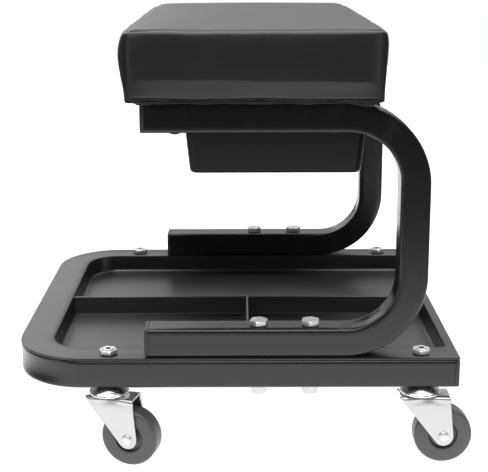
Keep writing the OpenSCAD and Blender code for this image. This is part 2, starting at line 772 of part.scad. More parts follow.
base_frame();
base_end_caps();
tool_tray();
seat_frame(-frame_y);  // seat_frame_front
seat_frame(frame_y);  // seat_frame_rear
seat_frame_end_caps();
frame_bolts();
frame_lock_nuts();
seat_board();
seat_foam();
seat_cover();
cover_staples();
seat_tee_nuts();
seat_bolts();
mirror([0, 1, 0]) drawer_rail();  // drawer_rail_front
drawer_rail();  // drawer_rail_rear
drawer_rail_screws();
drawer();
caster_stems();
caster_stem_nuts();
caster_top_cups();
swivel_balls();
caster_fork(0);  // caster_fork_front_left
caster_fork(1);  // caster_fork_front_right
caster_fork(2);  // caster_fork_rear_left
caster_fork(3);  // caster_fork_rear_right
caster_axle(0);  // caster_axle_front_left
caster_axle(1);  // caster_axle_front_right
caster_axle(2);  // caster_axle_rear_left
caster_axle(3);  // caster_axle_rear_right
caster_bush(0);  // caster_bush_front_left
caster_bush(1);  // caster_bush_front_right
caster_bush(2);  // caster_bush_rear_left
caster_bush(3);  // caster_bush_rear_right
caster_wheel(0);  // caster_wheel_front_left
caster_wheel(1);  // caster_wheel_front_right
caster_wheel(2);  // caster_wheel_rear_left
caster_wheel(3);  // caster_wheel_rear_right
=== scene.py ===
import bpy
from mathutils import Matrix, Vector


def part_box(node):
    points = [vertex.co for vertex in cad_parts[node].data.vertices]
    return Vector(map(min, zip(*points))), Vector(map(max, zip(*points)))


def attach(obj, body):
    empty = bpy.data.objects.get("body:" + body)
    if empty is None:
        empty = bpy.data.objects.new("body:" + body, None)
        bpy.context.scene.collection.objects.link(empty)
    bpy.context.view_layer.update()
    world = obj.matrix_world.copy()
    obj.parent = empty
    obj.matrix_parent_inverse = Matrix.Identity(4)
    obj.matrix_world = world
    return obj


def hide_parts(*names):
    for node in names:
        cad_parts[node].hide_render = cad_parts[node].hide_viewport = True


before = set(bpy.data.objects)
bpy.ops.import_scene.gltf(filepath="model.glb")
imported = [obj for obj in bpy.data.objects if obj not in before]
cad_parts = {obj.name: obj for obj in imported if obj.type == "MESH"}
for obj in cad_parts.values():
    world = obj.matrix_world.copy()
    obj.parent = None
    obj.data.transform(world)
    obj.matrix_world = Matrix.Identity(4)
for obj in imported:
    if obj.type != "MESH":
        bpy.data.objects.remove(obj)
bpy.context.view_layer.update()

import math

import bmesh
import bpy
from mathutils import Matrix, Vector, noise

# Camera, floor and light.
# The seat stands on a pale floor in front of a white backdrop, under a wide soft lamp. The side that
# the camera looks from is dark, so the near faces show the floor's reflection and little else.
# All sizes below are in millimetres; a mesh is scaled to metres when it is made.
MM = 0.001


class Wire:
    """A node's output. Arithmetic on wires and numbers adds Math nodes."""

    def __init__(self, graph, socket):
        self.graph = graph
        self.socket = socket

    def __getitem__(self, name):
        return Wire(self.graph, self.socket.node.outputs[name])

    def math(self, operation, *values):
        return self.graph.add("ShaderNodeMath", {"operation": operation}, dict(enumerate(values)))

    def __add__(self, other):
        return self.math("ADD", self, other)

    def __sub__(self, other):
        return self.math("SUBTRACT", self, other)

    def __rsub__(self, other):
        return self.math("SUBTRACT", other, self)

    def __mul__(self, other):
        return self.math("MULTIPLY", self, other)

    def __rtruediv__(self, other):
        return self.math("DIVIDE", other, self)

    def __pow__(self, other):
        return self.math("POWER", self, other)

    def __abs__(self):
        return self.math("ABSOLUTE", self)

    __radd__ = __add__
    __rmul__ = __mul__

    def top(self, other):
        return self.math("MAXIMUM", self, other)

    def sine(self):
        return self.math("SINE", self)

    def step(self, low, high, start=0.0, end=1.0):
        """Smooth step from start at low to end at high."""
        return self.graph.add("ShaderNodeMapRange", {"interpolation_type": "SMOOTHSTEP"},
                              {"Value": self, "From Min": low, "From Max": high,
                               "To Min": start, "To Max": end})


class Graph:
    """A node tree that nodes are added to."""

    def __init__(self, tree):
        self.tree = tree

    def add(self, kind, settings=None, sockets=None, out=0):
        made = self.tree.nodes.new(kind)
        for name, value in (settings or {}).items():
            setattr(made, name, value)
        for name, value in (sockets or {}).items():
            if isinstance(value, Wire):
                self.tree.links.new(value.socket, made.inputs[name])
            else:
                made.inputs[name].default_value = value
        return Wire(self, made.outputs[out]) if made.outputs else made

    def mix(self, share, a, b):
        return self.add("ShaderNodeMix", {"data_type": "RGBA"}, {0: share, 6: a, 7: b}, 2)


def put(name, data):
    """A new object in the scene that holds the data."""
    made = bpy.data.objects.new(name, data)
    bpy.context.scene.collection.objects.link(made)
    return made


CAMERA_PLACE = (-0.0016, -1.0798, 0.4487)
YAW, LOOKS_DOWN, ROLL = 0.15, 12.427, -0.19
camera_data = bpy.data.cameras.new("camera")
camera_data.sensor_width = 36
camera_data.lens = 82.545
camera_data.shift_x = 0.0138
camera_data.shift_y = -0.10
camera = put("camera", camera_data)
camera.matrix_world = (Matrix.Translation(CAMERA_PLACE) @ Matrix.Rotation(math.radians(YAW), 4, "Z")
                       @ Matrix.Rotation(math.radians(90 - LOOKS_DOWN), 4, "X")
                       @ Matrix.Rotation(math.radians(ROLL), 4, "Z"))
bpy.context.scene.camera = camera
bpy.context.scene.view_settings.view_transform = "Standard"

world = bpy.data.worlds.new("studio")
bpy.context.scene.world = world
world.use_nodes = True
sky = Graph(world.node_tree)
way = sky.add("ShaderNodeSeparateXYZ", sockets={0: sky.add("ShaderNodeTexCoord", out="Generated")})
backdrop = way["Y"].step(0.3, 0.65) * way["Z"].step(0.06, 0.5, 0.42, 1.6)
backdrop = backdrop * way["X"].step(-0.15, -0.06, 1.42, 0.71)
above = way["Z"].step(0.5, 0.85) * 1.82
strip = way["Z"].step(0.7, 0.8) * way["Z"].step(0.97, 0.94) * way["Y"].step(-0.1, -0.25)
above = above + strip * abs(way["X"]).step(0.26, 0.12) * 6
flanks = abs(way["X"]).step(0.55, 0.68) * way["Y"].step(-0.74, -0.66) * way["Y"].step(-0.4, -0.5)
flanks = flanks * abs(way["Z"]).step(0.4, 0.25) * 1.6
seen = sky.add("ShaderNodeLightPath", out="Is Camera Ray")
glow = backdrop.top(above).top(flanks) + 0.035
world.node_tree.links.new((seen + (1 - seen) * glow).socket,
                          world.node_tree.nodes["Background"].inputs["Strength"])
world.node_tree.nodes["Background"].inputs["Color"].default_value = (1, 1, 1, 1)

lamp_data = bpy.data.lights.new("softbox", "AREA")
lamp_data.shape = "RECTANGLE"
lamp_data.size = 1.6
lamp_data.size_y = 1.1
lamp_data.energy = 10
lamp = put("softbox", lamp_data)
lamp.matrix_world = Matrix.Translation((0.1, 0.35, 1.5)) @ Matrix.Rotation(math.radians(-12), 4, "X")


def new_material(name, color, roughness, metallic=0.0, **constants):
    """A material, its graph and its Principled shader, with the constants on the shader's sockets."""
    material = bpy.data.materials.new(name)
    material.use_nodes = True
    shader = material.node_tree.nodes["Principled BSDF"]
    shader.inputs["Base Color"].default_value = (*color, 1)
    shader.inputs["Roughness"].default_value = roughness
    shader.inputs["Metallic"].default_value = metallic
    for socket, value in constants.items():
        shader.inputs[socket.replace("_", " ")].default_value = value
    return material, Graph(material.node_tree), shader


def feed(graph, shader, socket, wire):
    graph.tree.links.new(wire.socket, shader.inputs[socket])


def where_on(graph):
    """The place of a point on the piece, as X, Y and Z in metres."""
    return graph.add("ShaderNodeSeparateXYZ", sockets={0: graph.add("ShaderNodeTexCoord", out="Object")})


def spots(graph, size, detail=3.0, stretch=(1, 1, 1)):
    """Noise with blobs of the given size in millimetres, fixed to the piece."""
    place = graph.add("ShaderNodeTexCoord", out="Object")
    place = graph.add("ShaderNodeMapping", sockets={"Vector": place, "Scale": stretch})
    return graph.add("ShaderNodeTexNoise", sockets={"Vector": place, "Scale": 1 / (size * MM),
                                                    "Detail": detail}, out=0)


def bumped(graph, shader, height, distance, strength=1.0):
    """Bump from a height of 0 to 1 that stands the given distance in millimetres."""
    feed(graph, shader, "Normal", graph.add("ShaderNodeBump", sockets={
        "Height": height, "Distance": distance * MM, "Strength": strength}))


# Painted light: the floor glows. Camera rays see it evenly white. For all other rays only a patch that
# reaches from in front of the seat back under it glows brightly, and the rest of the floor is dark. This
# painted pool of light lights the seat from below and shows in its reflections.
floor_paper, graph, shader = new_material("floor_paper", (0.25, 0.25, 0.25), 0.7, Emission_Strength=1.05)
feed(graph, shader, "Roughness", spots(graph, 40) * 0.1 + 0.65)
spot = where_on(graph)
seen = graph.add("ShaderNodeLightPath", out="Is Camera Ray")
lit = spot["Y"].step(-0.95, -0.45) * abs(spot["X"]).step(0.7, 0.32)
lit = lit.top(spot["Y"].step(-0.1, 0.5) * 0.08)
feed(graph, shader, "Base Color",
     graph.mix(lit.top(seen), (0.03, 0.03, 0.03, 1), (0.25, 0.25, 0.25, 1)))
lit = graph.mix(lit, (0.02, 0.02, 0.02, 1), (1.3, 1.3, 1.3, 1))
feed(graph, shader, "Emission Color", graph.mix(seen, lit, (1, 1, 1, 1)))
from_below = graph.add("ShaderNodeMixShader", sockets={
    0: graph.add("ShaderNodeNewGeometry", out="Backfacing"), 2: graph.add("ShaderNodeBsdfTransparent")})
graph.tree.links.new(shader.outputs[0], from_below.socket.node.inputs[1])
graph.tree.links.new(from_below.socket, graph.tree.nodes["Material Output"].inputs["Surface"])
floor_mesh = bpy.data.meshes.new("floor")
floor_mesh.from_pydata([(-3, -1.3, 0), (3, -1.3, 0), (3, 3, 0), (-3, 3, 0)], [], [(0, 1, 2, 3)])
floor_mesh.materials.append(floor_paper)
floor = put("floor", floor_mesh)

# Base frame.
# One square steel tube, bent twice to a U that is open at +X, and powder-coated in black. The bends
# were made cold, so the outer wall is drawn in between its edges. Everything else stands on it.
TUBE = 25.4
TUBE_WALL = 1.5
TUBE_CORNER = 3.0
BASE_CORNER = 62.0
BASE_BEND = BASE_CORNER - TUBE / 2
RIPPLES = 330
base_low, base_high = (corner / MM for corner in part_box("base_frame"))
RAIL_Z = base_low.z
BASE_HALF = base_high.y
RAIL_Y = BASE_HALF - TUBE / 2


def paint(name, color, roughness):
    """Powder coat: a fine orange-peel skin, with small rubbed and dusty places."""
    material, graph, shader = new_material(name, color, roughness)
    peel = spots(graph, 1.3, 2.0)
    dust = spots(graph, 22, 5.0).step(0.52, 0.75)
    rubbed = spots(graph, 3.5, 6.0).step(0.66, 0.8)
    lighter = tuple(c * 2.2 + 0.004 for c in color) + (1,)
    feed(graph, shader, "Base Color", graph.mix(dust * 0.3 + rubbed * 0.3, (*color, 1), lighter))
    feed(graph, shader, "Roughness", roughness + dust * 0.05 + peel * 0.03 - rubbed * 0.04)
    bumped(graph, shader, peel, 0.02, 0.35)
    return material


frame_paint = paint("frame_paint", (0.0085, 0.0085, 0.009), 0.24)


def tube_tree(name, material):
    """Sweeps a rounded square tube along the path that the modifier's object holds."""
    tree = bpy.data.node_groups.new(name, "GeometryNodeTree")
    inputs = {}
    tree.interface.new_socket("Geometry", in_out="INPUT", socket_type="NodeSocketGeometry")
    for label in ("Side", "Corner", "Bend", "Outer draw", "Inner draw", "Inner wave"):
        inputs[label] = tree.interface.new_socket(label, in_out="INPUT",
                                                  socket_type="NodeSocketFloat").identifier
    inputs["Outer side"] = tree.interface.new_socket("Outer side", in_out="INPUT",
                                                     socket_type="NodeSocketVector").identifier
    tree.interface.new_socket("Geometry", in_out="OUTPUT", socket_type="NodeSocketGeometry")
    g = Graph(tree)
    given = g.add("NodeGroupInput")
    path = g.add("GeometryNodeFilletCurve", {"mode": "POLY"},
                 {"Curve": given, "Count": 26, "Radius": given["Bend"]})
    heading = g.add("ShaderNodeSeparateXYZ", sockets={0: g.add("GeometryNodeInputTangent")})
    bend = abs(heading["X"] * heading["Y"]) + abs(heading["X"] * heading["Z"])
    bend = (bend * 2).step(0.0, 1.0)
    path = g.add("GeometryNodeCaptureAttribute", {"domain": "POINT"}, {"Geometry": path})
    path.socket.node.capture_items.new("FLOAT", "bend")
    path.socket.node.capture_items.new("FLOAT", "along")
    links = tree.links
    links.new(bend.socket, path.socket.node.inputs["bend"])
    links.new(g.add("GeometryNodeSplineParameter", out="Length").socket,
              path.socket.node.inputs["along"])
    section = g.add("GeometryNodeCurvePrimitiveQuadrilateral", {"mode": "RECTANGLE"},
                    {"Width": given["Side"], "Height": given["Side"]})
    section = g.add("GeometryNodeFilletCurve", {"mode": "POLY"},
                    {"Curve": section, "Count": 4, "Radius": given["Corner"]})
    section = g.add("GeometryNodeSubdivideCurve", sockets={"Curve": section, "Cuts": 5})
    section = g.add("GeometryNodeCaptureAttribute", {"domain": "POINT"}, {"Geometry": section})
    section.socket.node.capture_items.new("VECTOR", "place")
    links.new(g.add("GeometryNodeInputPosition").socket, section.socket.node.inputs["place"])
    wall = g.add("GeometryNodeCurveToMesh", sockets={"Curve": path, "Profile Curve": section})
    place = g.add("ShaderNodeVectorMath", {"operation": "SCALE"},
                  {0: section["place"], "Scale": 2 / given["Side"].top(1e-6)})
    outer = g.add("ShaderNodeVectorMath", {"operation": "DOT_PRODUCT"},
                  {0: place, 1: given["Outer side"]}, "Value")
    across = g.add("ShaderNodeVectorMath", {"operation": "LENGTH"}, {
        0: g.add("ShaderNodeVectorMath", {"operation": "CROSS_PRODUCT"},
                 {0: place, 1: given["Outer side"]})}, "Value")
    hollow = (1 - across * across).top(0)
    wave = 1 + given["Inner wave"] * (path["along"] * RIPPLES).sine()
    drawn = path["bend"] * hollow * (outer.step(0.9, 0.99) * given["Outer draw"]
                                     + outer.step(-0.9, -0.99) * given["Inner draw"] * wave)
    inward = g.add("ShaderNodeVectorMath", {"operation": "SCALE"},
                   {0: g.add("GeometryNodeInputNormal"), "Scale": drawn * -1})
    wall = g.add("GeometryNodeSetPosition", sockets={"Geometry": wall, "Offset": inward})
    wall = g.add("GeometryNodeRealizeInstances", sockets={"Geometry": wall})
    wall = g.add("GeometryNodeSetMaterial", sockets={"Geometry": wall, "Material": material})
    g.add("NodeGroupOutput", sockets={0: wall})
    return tree, inputs


def as_made(piece):
    """The mesh of a piece with its modifiers applied."""
    bpy.context.view_layer.update()
    return bpy.data.meshes.new_from_object(
        piece.evaluated_get(bpy.context.evaluated_depsgraph_get()))


def grown(name, start, tree, inputs, values, body):
    """The mesh that a tree of geometry nodes makes from a start object, as a piece of its own."""
    modifier = start.modifiers.new("grow", "NODES")
    modifier.node_group = tree
    for label, value in values.items():
        modifier[inputs[label]] = value
    mesh = as_made(start)
    start.modifiers.clear()
    bpy.data.objects.remove(start)
    mesh.name = name
    piece = put(name, mesh)
    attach(piece, body)
    return piece


def smooth(mesh, angle=32):
    """Shades a mesh smooth, with sharp edges where its faces meet at more than the angle."""
    mesh.polygons.foreach_set("use_smooth", [True] * len(mesh.polygons))
    mesh.set_sharp_from_angle(angle=math.radians(angle))


def outward(mesh):
    """Merges doubles and turns all faces outwards."""
    bm = bmesh.new()
    bm.from_mesh(mesh)
    bmesh.ops.remove_doubles(bm, verts=bm.verts, dist=1e-6)
    bmesh.ops.recalc_face_normals(bm, faces=bm.faces)
    bm.to_mesh(mesh)
    bm.free()


def bent_tube(name, points, bend, outer_side, draws, node):
    """A bent tube along points in millimetres, with its wall, in place of a CAD node."""
    curve = bpy.data.curves.new(name + "_path", "CURVE")
    curve.dimensions = "3D"
    spline = curve.splines.new("POLY")
    spline.points.add(len(points) - 1)
    for spot, point in zip(spline.points, points):
        spot.co = (*(c * MM for c in point), 1)
    piece = grown(name, put(name + "_path", curve), tube_nodes, tube_inputs,
                  {"Side": TUBE * MM, "Corner": TUBE_CORNER * MM, "Bend": bend * MM,
                   "Outer draw": draws[0] * MM, "Inner draw": draws[1] * MM, "Inner wave": draws[2],
                   "Outer side": outer_side}, "chassis")
    outward(piece.data)
    wall = piece.modifiers.new("wall", "SOLIDIFY")
    wall.thickness = TUBE_WALL * MM
    wall.offset = -1
    walled = as_made(piece)
    piece.modifiers.clear()
    piece.data = walled
    smooth(walled, 40)
    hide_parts(node)


tube_nodes, tube_inputs = tube_tree("square_tube", frame_paint)
mid_z = RAIL_Z + TUBE / 2
tube_end = base_high.x
left_x = base_low.x + TUBE / 2
bent_tube("base_rails", [(tube_end, -RAIL_Y, mid_z), (left_x, -RAIL_Y, mid_z),
                         (left_x, RAIL_Y, mid_z), (tube_end, RAIL_Y, mid_z)],
          BASE_BEND, (-1, 0, 0), (2.2, 0.8, 0.3), "base_frame")

# End caps of the base and of the seat frames.
# Matt black mouldings: a square head whose edges are rounded, and a plug that is driven into the
# tube. A thin dark seam stays between the head and the tube.
cap_plastic, graph, shader = new_material("cap_plastic", (0.024, 0.024, 0.0245), 0.5)
grain = spots(graph, 0.5, 4.0)
scuffs = spots(graph, 6, 6.0, (1, 1, 0.3)).step(0.6, 0.8)
feed(graph, shader, "Base Color", graph.mix(scuffs, (0.024, 0.024, 0.0245, 1), (0.05, 0.05, 0.05, 1)))
feed(graph, shader, "Roughness", 0.44 + grain * 0.16)
bumped(graph, shader, grain, 0.06, 0.6)
CAP_FLANGE = 4.0
CAP_PLUG = 13.0


def rounded(x0, x1, half_y, r0, r1, steps=6):
    """Points round a rectangle in plan, anticlockwise, with its own corner radius at each end."""
    points = []
    for cx, cy, r, turn in ((x1 - r1, half_y - r1, r1, 0), (x0 + r0, half_y - r0, r0, 90),
                            (x0 + r0, r0 - half_y, r0, 180), (x1 - r1, r1 - half_y, r1, 270)):
        for k in range(steps + 1):
            a = math.radians(turn + 90 * k / steps)
            points.append((cx + r * math.cos(a), cy + r * math.sin(a)))
    return points


def loft(rows, close=True):
    """Vertices and faces of a skin through rows of equal length, with both ends filled."""
    n = len(rows[0])
    verts = [point for row in rows for point in row]
    faces = []
    for j in range(len(rows) - 1):
        for i in range(n):
            k = (i + 1) % n
            faces.append((j * n + i, j * n + k, (j + 1) * n + k, (j + 1) * n + i))
    if close:
        faces.append(tuple(reversed(range(n))))
        faces.append(tuple((len(rows) - 1) * n + i for i in range(n)))
    return verts, faces


def joined(parts):
    """One list of vertices and one of faces from several."""
    verts, faces = [], []
    for more_verts, more_faces in parts:
        base = len(verts)
        verts += more_verts
        faces += [tuple(i + base for i in face) for face in more_faces]
    return verts, faces


def mesh_piece(name, shape, material, body, slot, *nodes, angle=32):
    """A piece from vertices in millimetres and faces, riding on a body, in place of CAD nodes."""
    mesh = bpy.data.meshes.new(name)
    mesh.from_pydata([tuple(c * MM for c in v) for v in shape[0]], [], shape[1])
    outward(mesh)
    smooth(mesh, angle)
    mesh.materials.append(material)
    piece = put(name, mesh)
    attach(piece, body)
    if nodes:
        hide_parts(*nodes)
    return piece


def cap(x, y, z, way):
    """End cap whose head lies against the tube's end at x and points along way."""
    plug = TUBE / 2 - TUBE_WALL - 0.1
    head = plug - TUBE / 2
    rows = []
    for along, inset, corner in ((-CAP_PLUG, 1.2, 1.0), (-CAP_PLUG + 1.5, 0, 1.4), (-0.05, 0, 1.4),
                                 (-0.05, head + 0.8, 2.4), (0.3, head + 0.8, 2.4), (0.35, head, 3.0),
                                 (CAP_FLANGE - 1.1, head, 3.0), (CAP_FLANGE - 0.5, head + 0.25, 2.8),
                                 (CAP_FLANGE - 0.15, head + 0.8, 2.4), (CAP_FLANGE, head + 1.9, 2.0)):
        h = plug - inset
        rows.append([(x + way * along, y + a, z + b) for a, b in rounded(-h, h, h, corner, corner, 5)])
    return loft(rows)


mesh_piece("base_caps", joined([cap(tube_end, s * RAIL_Y, mid_z, 1) for s in (-1, 1)]),
           cap_plastic, "chassis", "cap_plastic", "base_end_caps")

# Tool tray.
# One black moulding with a fine spark texture. Its broad flange lies on the rails, its well hangs
# between them, and two dividers, wider at the foot, part the well. The caster stems hold it down.
tray_plastic, graph, shader = new_material("tray_plastic", (0.008, 0.008, 0.0085), 0.34, IOR=1.58)
grain = spots(graph, 0.35, 3.0)
cloud = spots(graph, 60, 4.0)
scuffs = spots(graph, 9, 8.0, (0.25, 1, 1)).step(0.63, 0.8)
feed(graph, shader, "Base Color", graph.mix(scuffs * 0.6, (0.008, 0.008, 0.0085, 1),
                                            (0.05, 0.05, 0.05, 1)))
feed(graph, shader, "Roughness", 0.28 + cloud * 0.1 + grain * 0.06)
bumped(graph, shader, grain, 0.04, 0.55)
tray_low, tray_high = (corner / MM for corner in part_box("tool_tray"))
TRAY_SHEET = 1.6
WELL_X0, WELL_X1, WELL_HALF, WELL_CORNER = -169.8, 178.8, 146.7, 31
WELL_FLOOR = tray_low.z + TRAY_SHEET
RIM_Z = tray_high.z
FLANGE_Z = RIM_Z - 2.1
DIVIDER_X, DIVIDER_TOP, DIVIDER_FOOT = 5.2, 2.6, 7.6
DIVIDER_Z = RIM_Z - 0.6


def tray_row(inset, z):
    """Row round the flange's outer edge."""
    return [(x, y, z) for x, y in rounded(tray_low.x + inset, tray_high.x - inset, tray_high.y - inset,
                                          BASE_CORNER - inset, 2.2 - min(inset, 1.2), 12)]


def well_row(inset, z):
    """Row round the well; an inset below zero lies outside it."""
    return [(x, y, z) for x, y in rounded(WELL_X0 + inset, WELL_X1 - inset, WELL_HALF - inset,
                                          WELL_CORNER - inset * 0.9, max(5 - inset * 0.6, 2), 12)]


def divider(x0, x1, y0, y1, along_x):
    """Divider with a rounded top edge and a filleted foot, along X or along Y."""
    z0, z1, top, foot = WELL_FLOOR, DIVIDER_Z, DIVIDER_TOP, DIVIDER_FOOT
    shape = [(-foot / 2 - 1.6, 0), (-foot / 2 - 0.5, 0.35), (-foot / 2 + 0.1, 1.4)]
    for a in (165, 135, 105, 75, 45, 15):
        a = math.radians(a)
        shape.append((top / 2 * math.cos(a), z1 - z0 - top / 2 + top / 2 * math.sin(a)))
    shape += [(foot / 2 - 0.1, 1.4), (foot / 2 + 0.5, 0.35), (foot / 2 + 1.6, 0)]
    shape += [(foot / 2 + 1.6, -0.6), (-foot / 2 - 1.6, -0.6)]
    if along_x:
        rows = [[(x, y0 + a, z0 + b) for a, b in shape] for x in (x0, (x0 + x1) / 2, x1)]
    else:
        rows = [[(x0 + a, y, z0 + b) for a, b in shape] for y in (y0, (y0 + y1) / 2, y1)]
    return loft(rows)


tray_shape = joined([
    loft([well_row(6, WELL_FLOOR - TRAY_SHEET), well_row(1.5, WELL_FLOOR - TRAY_SHEET),
          well_row(-0.2, WELL_FLOOR - 0.9), well_row(-1.2, WELL_FLOOR + 0.8),
          well_row(-1.6, FLANGE_Z - 0.4), well_row(-1.9, FLANGE_Z),
          tray_row(0.6, FLANGE_Z), tray_row(0.15, FLANGE_Z + 0.15), tray_row(0, FLANGE_Z + 0.5),
          tray_row(0, RIM_Z - 0.7), tray_row(0.2, RIM_Z - 0.2), tray_row(0.75, RIM_Z),
          well_row(-4.5, RIM_Z), well_row(-1.2, RIM_Z - 0.08), well_row(-0.45, RIM_Z - 0.4),
          well_row(-0.1, RIM_Z - 1.2), well_row(0.5, WELL_FLOOR + 4.2), well_row(0.9, WELL_FLOOR + 2.0),
          well_row(2.0, WELL_FLOOR + 0.65), well_row(3.6, WELL_FLOOR + 0.05),
          well_row(4.6, WELL_FLOOR), well_row(9, WELL_FLOOR)]),
    divider(WELL_X0 + 0.2, WELL_X1 - 0.2, 0, 0, True),
    divider(DIVIDER_X, DIVIDER_X, -WELL_HALF + 0.2, 0, False)])
mesh_piece("tray_moulding", tray_shape, tray_plastic, "chassis", "tray_plastic", "tool_tray", angle=38)

# Caster stems, their nuts, top cups and swivel balls.
# Each stem runs up through the rail and the flange to a low zinc-plated nut, and its end is punched
# over to lock it. Under the rail a polished cup covers the ring of balls on which the fork turns.
CASTER_X = (-116.6, 155.2, -116.6, 155.2)
CASTER_Y = (-RAIL_Y, -RAIL_Y, RAIL_Y, RAIL_Y)
STEMS_MIDDLE, STEMS_APART = 0.0193, 0.1359
HEX_FLATS, NUT_BORE, STEM_NUT_H = 14.3, 4.85, 4.2


def plated(name, color, roughness, peel=0.02, metallic=1.0):
    """Bright plating: clouded roughness, fine scratches and a few dull spots."""
    material, graph, shader = new_material(name, color, roughness, metallic)
    cloud = spots(graph, 7, 4.0)
    scratch = spots(graph, 1.2, 6.0, (1, 1, 9)).step(0.55, 0.75)
    dull = spots(graph, 3, 5.0).step(0.62, 0.8)
    dark = tuple(c * 0.78 for c in color) + (1,)
    feed(graph, shader, "Base Color", graph.mix(dull * 0.4 + scratch * 0.2, (*color, 1), dark))
    feed(graph, shader, "Roughness", roughness - 0.02 + cloud * 0.06 + dull * 0.06)
    bumped(graph, shader, cloud * 0.6 + scratch * 0.4, peel, 0.3)
    return material


zinc_plate = plated("zinc_plate", (0.62, 0.62, 0.63), 0.3, 0.02, 0.6)
ball_steel = plated("ball_steel", (0.62, 0.62, 0.63), 0.12)


def softened(node, material, body, width=0.35, angle=25):
    """A copy of a node's solid with its flat faces whole and its edges broken, in its place."""
    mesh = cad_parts[node].data.copy()
    mesh.name = node + "_soft"
    bm = bmesh.new()
    bm.from_mesh(mesh)
    bmesh.ops.remove_doubles(bm, verts=bm.verts, dist=2e-6)
    bmesh.ops.dissolve_limit(bm, angle_limit=math.radians(1.5), verts=bm.verts, edges=bm.edges)
    bmesh.ops.recalc_face_normals(bm, faces=bm.faces)
    bm.to_mesh(mesh)
    bm.free()
    mesh.materials.clear()
    mesh.materials.append(material)
    piece = put(node + "_made", mesh)
    edge = piece.modifiers.new("edge", "BEVEL")
    edge.width = width * MM
    edge.segments = 2
    edge.limit_method = "ANGLE"
    edge.angle_limit = math.radians(angle)
    edge.harden_normals = True
    smooth(mesh, 30)
    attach(piece, body)
    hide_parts(node)


def dressed(node, material):
    """Gives a CAD node its finish."""
    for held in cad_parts[node].material_slots:
        held.material = material


def hex_ring(place, z, flats, turn, grow=0.0, most=99.0, drop=0.0):
    """Points round a hexagon, no further out than most, and lower by drop towards its corners."""
    points = []
    for k in range(48):
        a = math.radians(turn + 7.5 * k)
        corner = flats / 2 / math.cos(math.radians(7.5 * (k % 8) - 30))
        r = min(corner + grow, most)
        points.append((place[0] + r * math.cos(a), place[1] + r * math.sin(a),
                       z - drop * (corner - flats / 2)))
    return points


def hex_block(place, z, height, flats, turn, bore=0.0, way=1):
    """A hex head, or a nut with a bore: a round foot, flat sides, and a top with its corners off."""
    rows = [hex_ring(place, z, 0, 0, flats / 2 - 0.5),
            hex_ring(place, z + way * 0.5, 0, 0, flats / 2 - 0.4),
            hex_ring(place, z + way * 0.55, flats, turn, -0.25),
            hex_ring(place, z + way * 0.8, flats, turn),
            hex_ring(place, z + way * (height - 0.4), flats, turn, 0, 99, way * 0.5),
            hex_ring(place, z + way * (height - 0.12), flats, turn, -0.2, flats / 2 + 0.6, way * 0.3),
            hex_ring(place, z + way * height, flats, turn, -0.55, flats / 2 + 0.3)]
    if not bore:
        return loft(rows)
    rows += [hex_ring(place, z + way * height, 0, 0, bore + 0.5),
             hex_ring(place, z + way * (height - 0.5), 0, 0, bore), hex_ring(place, z, 0, 0, bore)]
    return loft(rows + rows[:1], False)


# Painted shade: the punched hollow in each stem's end is coloured near black with a ragged edge, in
# place of the shade inside the hollow.
stem_end, graph, shader = new_material("stem_end", (0.68, 0.68, 0.69), 0.25, 1.0)
place = where_on(graph)
off_x = abs(abs(place["X"] - STEMS_MIDDLE) - STEMS_APART)
off_y = abs(abs(place["Y"]) - RAIL_Y * MM)
torn = spots(graph, 1.6, 3.0)
punch_shade = ((off_x ** 2 + off_y ** 2) ** 0.5 + (torn - 0.5) * 0.004).step(0.0029, 0.0021)
feed(graph, shader, "Base Color", graph.mix(punch_shade, (0.68, 0.68, 0.69, 1), (0.05, 0.05, 0.05, 1)))
feed(graph, shader, "Roughness", 0.22 + punch_shade * 0.4 + torn * 0.05)
bumped(graph, shader, torn, 0.1, 0.5)
mesh_piece("stem_nuts", joined([hex_block((x, y), RIM_Z, STEM_NUT_H, HEX_FLATS, turn, NUT_BORE)
                                for x, y, turn in zip(CASTER_X, CASTER_Y, (49, 20, 5, 38))]),
           zinc_plate, "chassis", "zinc_plate", "caster_stem_nuts", angle=22)
softened("caster_stems", stem_end, "chassis", 0.3)
dressed("swivel_balls", ball_steel)


def turned(profile, place, axis="Z", steps=72):
    """A closed profile of (radius, height) turned about an axis through place."""
    n = len(profile)
    verts = []
    for k in range(steps):
        a = 2 * math.pi * k / steps
        for r, h in profile:
            p = (r * math.cos(a), r * math.sin(a), h)
            verts.append(p if axis == "Z" else (p[0], -p[2], p[1]))
    faces = []
    for k in range(steps):
        for i in range(n):
            j = (i + 1) % n
            m = (k + 1) % steps
            faces.append((k * n + i, m * n + i, m * n + j, k * n + j))
    return [(x + place[0], y + place[1], z + place[2]) for x, y, z in verts], faces


chrome = plated("cup_chrome", (0.86, 0.86, 0.87), 0.05, 0.006)
CUP = [(5.0, 0), (8.2, 0), (9.0, -0.25), (10.2, -0.9), (12.6, -2.2), (15.2, -3.9), (16.8, -5.0),
       (17.5, -5.7), (17.75, -6.3), (17.75, -7.0), (17.5, -7.3), (16.9, -7.3), (16.4, -7.0),
       (16.35, -6.4), (14.8, -5.2), (12.0, -3.4), (9.4, -1.9), (7.6, -1.4), (5.0, -1.4)]
mesh_piece("top_cups", joined([turned(CUP, (x, y, RAIL_Z)) for x, y in zip(CASTER_X, CASTER_Y)]),
           chrome, "chassis", "cup_chrome", "caster_top_cups", angle=50)

# Caster forks.
# Each is pressed from 2 mm zinc-plated sheet: a round-fronted plate with a raised race for the
# balls, rolled over into two tapering legs with round feet. It turns about the stem.
fork_zinc = plated("fork_zinc", (0.5, 0.5, 0.505), 0.3, 0.03)
CASTER_NAMES = ("front_left", "front_right", "rear_left", "rear_right")
FORK_TURN = (-16, 0, 12, 0)
PLATE_Z, PLATE_R, PLATE_BACK = 61.9, 17.5, 25.0
RACE_R0, RACE_R1, RACE_LIFT = 7.2, 15.2, 1.6
FORK_T = 2.0
FORK_OUT = 11.8
FORK_BEND = 3.6
AXLE_Z = 25.4
TRAIL = 20.2
FOOT_R = 8.4


